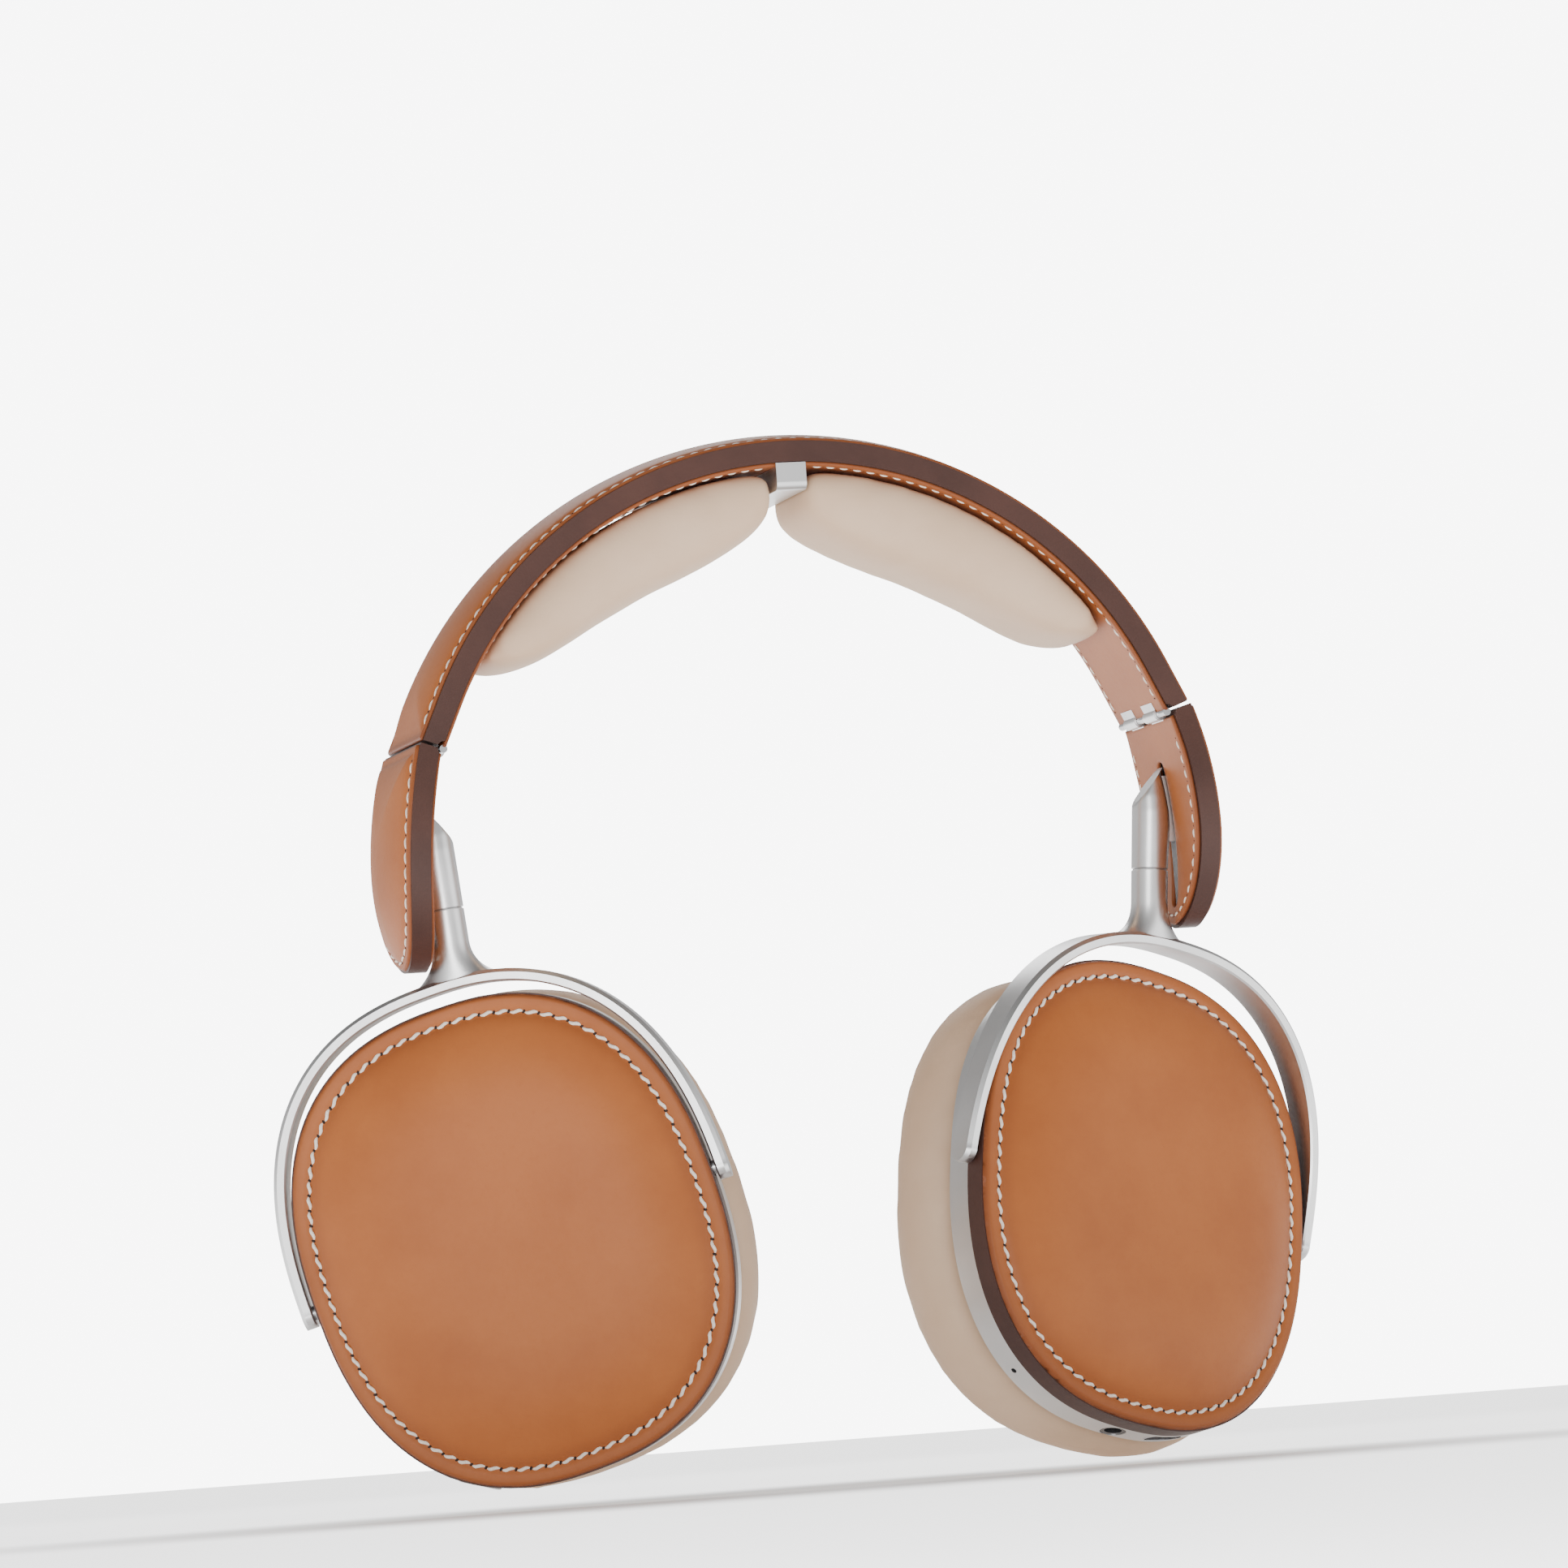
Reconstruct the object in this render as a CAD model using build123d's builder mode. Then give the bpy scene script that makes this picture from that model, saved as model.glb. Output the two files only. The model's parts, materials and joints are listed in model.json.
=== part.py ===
from build123d import *
import os
from math import copysign, cos, hypot, pi, radians, sin, sqrt

# Over ear headphones, standing upright. +X is the wearer's left, +Y the back of the head, +Z up.
# The origin is the middle of the clip's underside, where the crown of the head carries the band.
# All sizes are in millimetres. A side is +1 on the left and -1 on the right.
SIDES = {"left": 1, "right": -1}

# Headband: an arc over the head that runs straight at both ends.
BAND_RADIUS = 83.5          # outer face of the core
BAND_CENTRE_Z = -73.6
BAND_HALF_ANGLE = 65.0      # degrees from the top to where the straight ends start
BAND_WIDTH = 32.0
CORE_THICK = 4.2
LINING_THICK = 0.8
LEATHER_INSET = 0.5         # how far the leather skins stay behind the core's painted edge
SKIN_EDGE = 0.6             # thickness of the outer skin at its edge
BAND_DOME = 2.8             # rise of the outer skin over the core's outer face
SPRING_WIDTH = 16.0
SPRING_THICK = 0.8
SPRING_END = 2.0            # how far the spring runs down the straight ends
BAND_OVERRUN = 12.0         # straight stock that the joint faces trim

# Crown pads, one each side of the clip, under the lining.
PAD_WIDTH = 30.0
PAD_CLEAR = 0.2
PAD_ENDS = (2.6, 57.0)      # degrees from the top
PAD_DEPTHS = ((2.9, 5.6), (9.0, 12.0), (18.0, 15.3), (33.0, 16.2), (46.0, 14.6), (53.5, 9.5))

# Clip round the middle of the band.
CLIP_WIDTH = 6.2
CLIP_TOP_Z = 4.8
CLIP_LIP_Z = 5.5

# Fold hinges.
HINGE_X = 75.4
HINGE_Z = -48.6
HINGE_TILT = 20.5           # degrees between the joint face and the horizontal
HINGE_GAP = 0.35
PIN_RADIUS = 0.8
KNUCKLE_RADIUS = 1.3
KNUCKLE_RELIEF = 1.5
KNUCKLE_GAP = 0.4           # between one knuckle and the next along the pin
PIN_END = 0.8
LEAF_HALF_WIDTH = 14.4
PRONG_NEAR = 2.8
PRONG_FAR = 10.4
LEAF_THICK = 0.8
LEAF_INSET = 0.4            # from the hinge axis to the face of the band's hidden plate
UPPER_LEAF_LENGTH = 5.5
UPPER_PRONG_LENGTH = 3.9
LOWER_LEAF_LENGTH = 5.5
LOWER_PRONG_LENGTH = 3.7
TAB_LEAF_ANGLE = 16.0       # degrees between the tab's leaf and the vertical

# End tabs: a shallow arc hanging from each hinge.
TAB_CENTRE_X = -17.8
TAB_CENTRE_Z = -75.4
TAB_RADIUS = 102.0          # outer face of the core
TAB_THICK = 4.0
TAB_TIP_Z = -91.8
TAB_DOME = 3.2
TAB_HALF_WIDTH = 17.7
TAB_SHOULDERS = ((1.4, 6.0), (0.0, -16.4), (2.5, -31.0), (9.0, -39.8))  # step in, height from the hinge

# Size adjustment: a rail let into the tab and the socket that runs down it.
RAIL_X = 79.6
RAIL_THICK = 2.2
RAIL_HALF_WIDTH = 3.7
RAIL_TOP_Z = -56.9
RAIL_BOTTOM_Z = -87.9
RAIL_LIP = 0.7
SLOT_HALF_WIDTH = 1.5
TRACK_HALF_WIDTH = 2.6
TRACK_DEPTH = 1.1
TRACK_END = 0.6
SLIDE_CLEAR = 0.2
SOCKET_TRAVEL = 12.0
SHOE_TOP_Z = -59.9
SHOE_BOTTOM_Z = -73.9
STEM_RADIUS = 3.75
SOCKET_LENGTH = 24.0        # before the slanted top is cut
SOCKET_SLOPE = (-8.5, 6.2)  # direction square to the slanted top, outwards and up
SOCKET_TOP = (78.5, -58.4)  # a point on it
SWIVEL_PIN_HALF = 8.0
SWIVEL_BORE = 9.0
STEM_X = 73.96              # stem axis where socket and yoke part
STEM_Z = -79.5
STEM_LEAN = 5.27            # degrees inwards, going down
SWIVEL_PIN_RADIUS = 2.0
RUNNING = 0.05

# Yoke and cup. The cups are stored turned to the front and the yoke is canted forwards.
SWIVEL = 69.0               # degrees turned from the worn position
YOKE_CANT = 10.56
PIVOT_DROP = 67.2           # from the parting line to the tilt axis, along the stem
PIVOT_FORWARD = 3.2
CUP_TILT = {"left": 11.1, "right": 0.0}
OVAL_POWER = 2.4
CUP_UP = 48.6               # half height of the cup's outline
CUP_ACROSS = 42.2           # half width
YOKE_GAP_UP = 2.2
YOKE_GAP_ACROSS = 0.7
ARM_THICK = 2.5
ARM_DEPTH_TOP = 3.6         # half depth of the arch along the cup's normal, and of the tips
ARM_DEPTH_TIP = 2.8
ARM_TIP_RADIUS = 2.9
PIVOT_RADIUS = 1.5
PIVOT_INNER = 31.0
STEM_ROUND_LENGTH = 7.0      # plain round stretch below the parting line
FLARE_FOOT = 4.3
FLARE_FILLET = 4.6
FLARE_REACH = 18.0
ARM_CHAMFER = 0.5
PIN_COVER = 0.8             # metal left over the end of each tilt pin

# Heights in the cup, along its outward normal from the tilt axis.
BACKING_TOP = 3.1
BACKING_BOTTOM = -1.4
RIM_BOTTOM = -7.6
RIM_WALL = 3.0
BORDER = 7.0                # flat leather border round the dome
COVER_EDGE = 1.2
COVER_WALL = 1.3
COVER_STEPS = ((0.0, 0.0), (2.2, 1.0), (4.0, 3.6), (5.0, 10.0), (5.4, 20.0))  # rise, step in from border
SCREW_RADIUS = 1.2
SCREW_HEAD_RADIUS = 2.0
SCREW_HEAD_HEIGHT = 1.2
SCREW_CIRCLE = 29.0
BOSS_HALF = 3.2             # half length of each pivot boss up the cup
BOSS_TOP = 2.4
BAFFLE_TOP = -4.0
BAFFLE_BOTTOM = -6.0
BAFFLE_CLEAR = 1.8
PLATE_BOTTOM = -8.6
PLATE_STEP = 2.4            # in from the rim
CUSHION_LEVELS = (          # height, half size up, half size across
    (-8.8, 47.4, 41.0),
    (-13.0, 49.8, 44.8),
    (-19.0, 50.4, 46.0),
    (-24.6, 48.4, 43.8),
    (-27.4, 43.6, 39.2),
)
EAR_HOLE_UP = 30.0
EAR_HOLE_ACROSS = 21.5
PORT_Z = (BACKING_BOTTOM + RIM_BOTTOM) / 2
JACK_RADIUS = 1.8
JACK_BARREL = 2.7
JACK_LENGTH = 14.0
USB_WIDTH = 8.94
USB_HEIGHT = 3.26
USB_WALL = 0.35
USB_LENGTH = 7.3
USB_ANGLE = 14.2            # degrees from the cup's lowest point towards the back
USB_TONGUE = (3.3, 0.35)    # half width and half thickness
MIC_ANGLE = -34.0
MIC_RADIUS = 0.6
BUTTON_LENGTH = 8.8
BUTTON_WIDTH = 3.0
BUTTON_DEPTH = 3.3
BUTTON_PROUD = 0.5
BUTTON_CLEAR = 0.2
BUTTONS = {                 # degrees from the cup's lowest point towards the back
    "left": {"noise_button": 44.0},
    "right": {"volume_down": 30.0, "play_button": 44.0, "volume_up": 58.0},
}

# Inside each cup.
DRIVER_OPENING = 17.0
VENT_CIRCLE = 23.0
VENT_COUNT = 8
VENT_RADIUS = 1.5
FLANGE_RADIUS = 20.0
FLANGE_THICK = 1.5
MAGNET_RADIUS = 12.0
MAGNET_HEIGHT = 4.5
MEMBRANE_RADIUS = 16.5
MEMBRANE_THICK = 0.4
MEMBRANE_DOME_RADIUS = 9.0
BOARD_SPAN = (14.5, 34.0)
BOARD_HALF_WIDTH = 20.0
BOARD_BOTTOM = -0.5
BOARD_TOP = 0.7
CHIP_HEIGHT = 1.2
CHIPS = ((20, -8, 7), (20, 6, 5), (29, -4, 4), (28, 9, 6))  # place up, place across, size
BATTERY_SPAN = (-35.0, -14.5)
BATTERY_HALF_WIDTH = 15.0
BATTERY_HEIGHTS = (-1.8, 2.4)
MESH_THICK = 0.4


def save(piece, name):
    """Labels a finished piece and writes it to its own file."""
    piece.part.label = name
    export_step(piece.part, f"parts/{name}.step")


# ---------------------------------------------------------------- shared geometry

def band_point(radius, side, run):
    """Point on a band line: the end of its arc, then run millimetres down the straight end."""
    angle = radians(BAND_HALF_ANGLE)
    x = radius * sin(angle) + run * cos(angle)
    return (side * x, BAND_CENTRE_Z + radius * cos(angle) - run * sin(angle))


def band_path(run):
    """The band's outer line from the right end over the top to the left end."""
    with BuildLine(Plane.XZ) as line:
        Line(band_point(BAND_RADIUS, -1, run), band_point(BAND_RADIUS, -1, 0))
        crown = (0, BAND_CENTRE_Z + BAND_RADIUS)
        ThreePointArc(band_point(BAND_RADIUS, -1, 0), crown, band_point(BAND_RADIUS, 1, 0))
        Line(band_point(BAND_RADIUS, 1, 0), band_point(BAND_RADIUS, 1, run))
    return line.line


def band_section(path):
    """Plane across the start of the band: x along the band's width, y outwards."""
    return Plane(origin=path @ 0, x_dir=(0, 1, 0), z_dir=path % 0)


def hinge_plane(side, gap):
    """Joint face between band and tab, moved up by gap, looking up into the band."""
    angle = radians(HINGE_TILT)
    normal = Vector(-side * sin(angle), 0, cos(angle))
    return Plane(origin=Vector(side * HINGE_X, 0, HINGE_Z) + normal * gap, z_dir=normal)


def leaf_plane(side, angle):
    """Plane square to the hinge pin at its middle: x outwards at this angle, y up along the band."""
    turn = radians(angle)
    outwards = (side * cos(turn), 0, sin(turn))
    return Plane(origin=(side * HINGE_X, 0, HINGE_Z), x_dir=outwards, z_dir=(0, -side, 0))


def yoke_plane(side, tilt):
    """Plane through the tilt axis: x up the cup, y along the axis, z out of the cup's face."""
    lean, swivel, cant, turn = (radians(a) for a in (STEM_LEAN, SWIVEL, YOKE_CANT, tilt))
    up = Vector(side * sin(lean), 0, cos(lean))
    outwards = Vector(side * cos(lean), 0, -sin(lean))
    front = Vector(0, -1, 0)
    normal = outwards * cos(swivel) + front * sin(swivel)
    forward = front * cos(swivel) - outwards * sin(swivel)
    centre = Vector(side * STEM_X, 0, STEM_Z) - up * PIVOT_DROP + forward * PIVOT_FORWARD
    cup_up = up * cos(cant) - forward * sin(cant)
    face = normal * cos(turn) + cup_up * sin(turn)
    return Plane(origin=centre, x_dir=cup_up * cos(turn) - normal * sin(turn), z_dir=face)


def stem_plane(side, height):
    """Plane across the stem axis, height millimetres above the parting line."""
    lean = radians(STEM_LEAN)
    up = Vector(side * sin(lean), 0, cos(lean))
    return Plane(origin=Vector(side * STEM_X, 0, STEM_Z) + up * height, x_dir=(0, 1, 0), z_dir=up)


def oval_point(up, across, angle):
    """Point of the cup's squarish oval, half height up and half width across, at this angle."""
    power = 2 / OVAL_POWER
    c, s = cos(angle), sin(angle)
    return (copysign(up * abs(c) ** power, c), copysign(across * abs(s) ** power, s))


def oval(plane, up, across, steps=36):
    """The cup's squarish oval as a face on this plane."""
    with BuildSketch(plane) as sketch:
        with BuildLine():
            Spline(*[oval_point(up, across, 2 * pi * i / steps) for i in range(steps)], periodic=True)
        make_face()
    return sketch.sketch


def oval_loft(plane, levels):
    """Smooth solid through the cup's oval at several heights, each with its own half sizes."""
    with BuildPart() as solid:
        loft([oval(plane.offset(height), up, across, steps=24).face() for height, up, across in levels])
    return solid.part


def rim_plane(plane, angle):
    """Plane on the rim's outer face, angle degrees from the lowest point along y, looking outwards."""
    middle = radians(180 - angle)
    low = oval_point(CUP_UP, CUP_ACROSS, middle - 0.01)
    high = oval_point(CUP_UP, CUP_ACROSS, middle + 0.01)
    x, y = oval_point(CUP_UP, CUP_ACROSS, middle)
    along = (plane.x_dir * (high[0] - low[0]) + plane.y_dir * (high[1] - low[1])).normalized()
    origin = plane.origin + plane.x_dir * x + plane.y_dir * y + plane.z_dir * PORT_Z
    return Plane(origin=origin, x_dir=along, z_dir=along.cross(plane.z_dir))


def box_prism(plane, x_range, y_range, z_range):
    """A rectangular block in a plane's own coordinates, as a free solid."""
    with BuildPart() as block:
        with BuildSketch(plane.offset(z_range[0])):
            with Locations(((x_range[0] + x_range[1]) / 2, (y_range[0] + y_range[1]) / 2)):
                Rectangle(x_range[1] - x_range[0], y_range[1] - y_range[0])
        extrude(amount=z_range[1] - z_range[0])
    return block.part


# ---------------------------------------------------------------- headband

def band_layer(low, high, half_width, dome, name, hollow=None):
    """One layer of the band between two distances from the core's outer face, ended at both hinges."""
    path = band_path(run=BAND_OVERRUN)
    section = band_section(path)
    with BuildPart() as layer:
        with BuildSketch(section) as profile:
            with BuildLine():
                Polyline((-half_width, high), (-half_width, low), (half_width, low), (half_width, high))
                if dome:
                    ThreePointArc((-half_width, high), (0, high + dome), (half_width, high))
                else:
                    Line((-half_width, high), (half_width, high))
            make_face()
            if hollow:
                with Locations((0, hollow)):
                    Rectangle(SPRING_WIDTH, SPRING_THICK, mode=Mode.SUBTRACT)
        sweep(path=path)
        for side in SIDES.values():
            split(bisect_by=hinge_plane(side, HINGE_GAP), keep=Keep.TOP)
            if low < 0:
                with BuildSketch(leaf_plane(side, 0)):
                    Circle(KNUCKLE_RELIEF)
                extrude(amount=BAND_WIDTH, both=True, mode=Mode.SUBTRACT)
                add(upper_leaf_solid(side), mode=Mode.SUBTRACT)
    save(layer, name)


def upper_leaf_solid(side):
    """Hinge leaf let into the band's end: hidden plate, two prongs that show, and three knuckles."""
    plane = leaf_plane(side, 90 - BAND_HALF_ANGLE)
    with BuildPart() as leaf:
        hidden = (LEAF_INSET, LEAF_INSET + LEAF_THICK)
        shown = (LEAF_INSET - LEAF_THICK, LEAF_INSET)
        width = (-LEAF_HALF_WIDTH, LEAF_HALF_WIDTH)
        add(box_prism(plane, hidden, (KNUCKLE_RELIEF, UPPER_LEAF_LENGTH), width))
        for near, far in ((PRONG_NEAR, PRONG_FAR), (-PRONG_FAR, -PRONG_NEAR)):
            add(box_prism(plane, shown, (KNUCKLE_RELIEF, UPPER_PRONG_LENGTH), (near, far)))
        for near, far in upper_knuckles():
            add(box_prism(plane, hidden, (0, KNUCKLE_RELIEF), (near, far)))
            with BuildSketch(plane.offset(near)):
                Circle(KNUCKLE_RADIUS)
            extrude(amount=far - near)
        with BuildSketch(plane):
            Circle(PIN_RADIUS + 0.02)
        extrude(amount=BAND_WIDTH, both=True, mode=Mode.SUBTRACT)
    return leaf.part


def upper_knuckles():
    """Where the band's knuckles lie along the pin: the middle and both ends."""
    outer = (PRONG_FAR + KNUCKLE_GAP, LEAF_HALF_WIDTH)
    return ((KNUCKLE_GAP - PRONG_NEAR, PRONG_NEAR - KNUCKLE_GAP), outer, (-outer[1], -outer[0]))


def upper_leaf(side, name):
    with BuildPart() as leaf:
        add(upper_leaf_solid(side))
    save(leaf, f"{name}_hinge_upper_leaf")


def hinge_pin(side, name):
    with BuildPart() as pin:
        with BuildSketch(leaf_plane(side, 0)):
            Circle(PIN_RADIUS)
        extrude(amount=LEAF_HALF_WIDTH + PIN_END, both=True)
    save(pin, f"{name}_hinge_pin")


def headband_spring():
    path = band_path(run=SPRING_END)
    with BuildPart() as spring:
        with BuildSketch(band_section(path)):
            with Locations((0, -CORE_THICK / 2)):
                Rectangle(SPRING_WIDTH, SPRING_THICK)
        sweep(path=path)
    save(spring, "headband_spring")


def crown_point(degrees_from_top, depth):
    """Point under the lining, this far round from the top and this deep below the lining."""
    radius = BAND_RADIUS - CORE_THICK - LINING_THICK - PAD_CLEAR - depth
    angle = radians(degrees_from_top)
    return (radius * sin(angle), BAND_CENTRE_Z + radius * cos(angle))


def crown_pad(side, name):
    """Plain solid of a crown pad, thin beside the clip and thickest over the side of the head."""
    start, end = PAD_ENDS
    points = [crown_point(start, 0), *[crown_point(*pair) for pair in PAD_DEPTHS], crown_point(end, 0)]
    mirrored = [(side * x, z) for x, z in points]
    middle = crown_point((start + end) / 2, 0)
    with BuildPart() as pad:
        with BuildSketch(Plane.XZ):
            with BuildLine():
                Polyline(mirrored[0], mirrored[1])
                Spline(*mirrored[1:-1])
                Polyline(mirrored[-2], mirrored[-1])
                ThreePointArc(mirrored[-1], (side * middle[0], middle[1]), mirrored[0])
            make_face()
        extrude(amount=PAD_WIDTH / 2, both=True)
    save(pad, f"{name}_crown_pad")


def centre_clip():
    """Aluminium bar between the pads, with a lip up over each edge of the lining."""
    end = BAND_WIDTH / 2
    lip = end - LEATHER_INSET
    with BuildPart() as clip:
        with BuildSketch(Plane.YZ):
            with BuildLine():
                Polyline(
                    (-end, CLIP_LIP_Z),
                    (-end, 0),
                    (end, 0),
                    (end, CLIP_LIP_Z),
                    (lip, CLIP_LIP_Z),
                    (lip, CLIP_TOP_Z),
                    (-lip, CLIP_TOP_Z),
                    (-lip, CLIP_LIP_Z),
                    close=True,
                )
            make_face()
        extrude(amount=CLIP_WIDTH / 2, both=True)
        fillet(clip.edges().filter_by(Axis.X).group_by(Axis.Z)[0], radius=1.6)
    save(clip, "centre_clip")


# ---------------------------------------------------------------- end tabs

def tab_x(radius, z):
    """Distance from the middle plane of a tab line of this radius, at height z."""
    return TAB_CENTRE_X + sqrt(radius ** 2 - (z - TAB_CENTRE_Z) ** 2)


def tab_outline(inset):
    """Tongue outline of a tab seen from the side: nearly straight, then narrowing to a rounded tip."""
    half = TAB_HALF_WIDTH - inset
    shoulders = [(half - step, HINGE_Z + height) for step, height in TAB_SHOULDERS]
    far_side = [(-y, z) for y, z in reversed(shoulders)]
    with BuildSketch(Plane.YZ) as sketch:
        with BuildLine():
            Spline(*shoulders, (0, TAB_TIP_Z + inset), *far_side)
            Line(far_side[-1], shoulders[0])
        make_face()
    return sketch.sketch


def tab_ring(side, low, high, dome, half_width):
    """Ring segment about the tab's centre between two radii, domed outwards, as a free solid."""
    middle = side * TAB_CENTRE_X
    with BuildPart() as ring:
        with BuildSketch(Plane.XY.offset(TAB_CENTRE_Z)):
            with BuildLine():
                Polyline(
                    (middle + side * high, half_width),
                    (middle + side * low, half_width),
                    (middle + side * low, -half_width),
                    (middle + side * high, -half_width),
                )
                front, back = (middle + side * high, -half_width), (middle + side * high, half_width)
                if dome:
                    ThreePointArc(front, (middle + side * (high + dome), 0), back)
                else:
                    Line(front, back)
            make_face()
        revolve(axis=Axis((middle, 0, TAB_CENTRE_Z), (0, 1, 0)), revolution_arc=-side * 30)
        mirror(about=Plane((middle, 0, TAB_CENTRE_Z)))
    return ring.part


def tab_layer(side, name, low, high, dome=0.0, inset=0.0):
    """One layer of an end tab: a domed or plain ring segment cut to the tongue outline."""
    with BuildPart() as layer:
        add(tab_ring(side, low, high, dome, TAB_HALF_WIDTH - inset))
        extrude(tab_outline(inset), amount=side * 130, mode=Mode.INTERSECT)
        split(bisect_by=hinge_plane(side, -HINGE_GAP), keep=Keep.BOTTOM)
        if low < TAB_RADIUS:
            with BuildSketch(leaf_plane(side, 0)):
                Circle(KNUCKLE_RELIEF)
            extrude(amount=BAND_WIDTH, both=True, mode=Mode.SUBTRACT)
            add(lower_leaf_solid(side), mode=Mode.SUBTRACT)
            add(rail_pocket(side), mode=Mode.SUBTRACT)
    save(layer, name)


def rail_pocket(side):
    """Space the rail and the socket's shoe need in the tab, open towards the head."""
    x_range = side_range(side, RAIL_X - 2 * TAB_THICK, RAIL_X + RAIL_THICK)
    y_range = (-RAIL_HALF_WIDTH, RAIL_HALF_WIDTH)
    return box_prism(Plane.XY, x_range, y_range, (RAIL_BOTTOM_Z, RAIL_TOP_Z))


def side_range(side, inner, outer):
    """Two distances from the middle plane as an ordered x range on this side."""
    return tuple(sorted((side * inner, side * outer)))


def lower_leaf_solid(side):
    """Hinge leaf let into the tab's top, with two knuckles that roll over the pin and end in prongs."""
    face = TAB_RADIUS - TAB_THICK - LINING_THICK - hypot(HINGE_X - TAB_CENTRE_X, HINGE_Z - TAB_CENTRE_Z)
    plane = leaf_plane(side, TAB_LEAF_ANGLE)
    hidden = (face + LEAF_THICK, face + 2 * LEAF_THICK)
    width = (-LEAF_HALF_WIDTH, LEAF_HALF_WIDTH)
    with BuildPart() as leaf:
        add(box_prism(plane, hidden, (-LOWER_LEAF_LENGTH, -KNUCKLE_RELIEF), width))
        for near, far in ((PRONG_NEAR, PRONG_FAR), (-PRONG_FAR, -PRONG_NEAR)):
            add(box_prism(plane, (face, hidden[0]), (-LOWER_PRONG_LENGTH, 0), (near, far)))
            with BuildSketch(plane.offset(near)):
                Circle(KNUCKLE_RADIUS)
            extrude(amount=far - near)
        with BuildSketch(plane):
            Circle(PIN_RADIUS + RUNNING)
        extrude(amount=BAND_WIDTH, both=True, mode=Mode.SUBTRACT)
    return leaf.part


def lower_leaf(side, name):
    with BuildPart() as leaf:
        add(lower_leaf_solid(side))
    save(leaf, f"{name}_hinge_lower_leaf")


def slide_rail(side, name):
    """Flat rail with an undercut track for the socket's foot."""
    body = side_range(side, RAIL_X, RAIL_X + RAIL_THICK)
    slot = side_range(side, RAIL_X - 1, RAIL_X + RAIL_LIP)
    track = side_range(side, RAIL_X + RAIL_LIP, RAIL_X + RAIL_LIP + TRACK_DEPTH)
    ends = (RAIL_BOTTOM_Z + TRACK_END, RAIL_TOP_Z - TRACK_END)
    with BuildPart() as rail:
        add(box_prism(Plane.XY, body, (-RAIL_HALF_WIDTH, RAIL_HALF_WIDTH), (RAIL_BOTTOM_Z, RAIL_TOP_Z)))
        add(box_prism(Plane.XY, slot, (-SLOT_HALF_WIDTH, SLOT_HALF_WIDTH), ends), mode=Mode.SUBTRACT)
        add(box_prism(Plane.XY, track, (-TRACK_HALF_WIDTH, TRACK_HALF_WIDTH), ends), mode=Mode.SUBTRACT)
    save(rail, f"{name}_slide_rail")


def stem_socket(side, name):
    """Bullet-shaped socket with a slanted top, a shoe beside the rail and a T-shaped foot in its track."""
    neck = (SLIDE_CLEAR - SLOT_HALF_WIDTH, SLOT_HALF_WIDTH - SLIDE_CLEAR)
    foot = (SLIDE_CLEAR - TRACK_HALF_WIDTH, TRACK_HALF_WIDTH - SLIDE_CLEAR)
    foot_x = side_range(side, RAIL_X + RAIL_LIP + SLIDE_CLEAR, RAIL_X + RAIL_LIP + TRACK_DEPTH - SLIDE_CLEAR)
    neck_x = side_range(side, RAIL_X - 1, RAIL_X + RAIL_LIP + 2 * SLIDE_CLEAR)
    shoe = (-RAIL_HALF_WIDTH + 2 * SLIDE_CLEAR, RAIL_HALF_WIDTH - 2 * SLIDE_CLEAR)
    tall = (SHOE_BOTTOM_Z, SHOE_TOP_Z)
    slope = Vector(side * SOCKET_SLOPE[0], 0, SOCKET_SLOPE[1])
    top = Plane(origin=(side * SOCKET_TOP[0], 0, SOCKET_TOP[1]), z_dir=slope)
    with BuildPart() as socket:
        with BuildSketch(stem_plane(side, 0)):
            Circle(STEM_RADIUS)
        extrude(amount=SOCKET_LENGTH)
        add(box_prism(Plane.XY, side_range(side, STEM_X, RAIL_X - SLIDE_CLEAR), shoe, tall))
        split(bisect_by=top, keep=Keep.BOTTOM)
        fillet(socket.faces().sort_by(Axis(origin=(0, 0, 0), direction=slope))[-1].edges(), radius=0.6)
        add(box_prism(Plane.XY, neck_x, neck, tall))
        add(box_prism(Plane.XY, foot_x, foot, tall))
        with BuildSketch(stem_plane(side, 0)):
            Circle(SWIVEL_PIN_RADIUS + RUNNING)
        extrude(amount=SWIVEL_BORE, mode=Mode.SUBTRACT)
    save(socket, f"{name}_stem_socket")


# ---------------------------------------------------------------- yokes

def swivel_pin(side, name):
    with BuildPart() as pin:
        with BuildSketch(stem_plane(side, 0)):
            Circle(SWIVEL_PIN_RADIUS)
        extrude(amount=SWIVEL_PIN_HALF, both=True)
    save(pin, f"{name}_swivel_pin")


def yoke_outline(plane, side):
    """Flat shape of the yoke: an arch round the cup with the stem growing out of it."""
    up, across = CUP_UP + YOKE_GAP_UP, CUP_ACROSS + YOKE_GAP_ACROSS
    cant = radians(YOKE_CANT)
    stem = plane.to_local_coords(stem_plane(side, 0).origin)
    down = Vector(-cos(cant), -side * sin(cant))
    across_stem = Vector(down.Y, -down.X)
    neck = stem + down * STEM_ROUND_LENGTH
    narrow = across_stem * STEM_RADIUS
    foot = stem + down * FLARE_REACH
    wide = across_stem * FLARE_FOOT
    corners = (neck + narrow, neck - narrow, foot - wide, foot + wide)
    with BuildSketch(plane) as sketch:
        add(oval(Plane.XY, up + ARM_THICK, across + ARM_THICK))
        with BuildLine():
            Polyline(*[(p.X, p.Y) for p in corners], close=True)
        make_face()
        fillet(sketch.vertices().sort_by(Axis.X)[:2], radius=FLARE_FILLET)
        add(oval(Plane.XY, up, across), mode=Mode.SUBTRACT)
        with Locations((-CUP_UP, 0)):
            Rectangle(2 * CUP_UP, 3 * CUP_ACROSS, mode=Mode.SUBTRACT)
    return sketch.sketch


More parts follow.
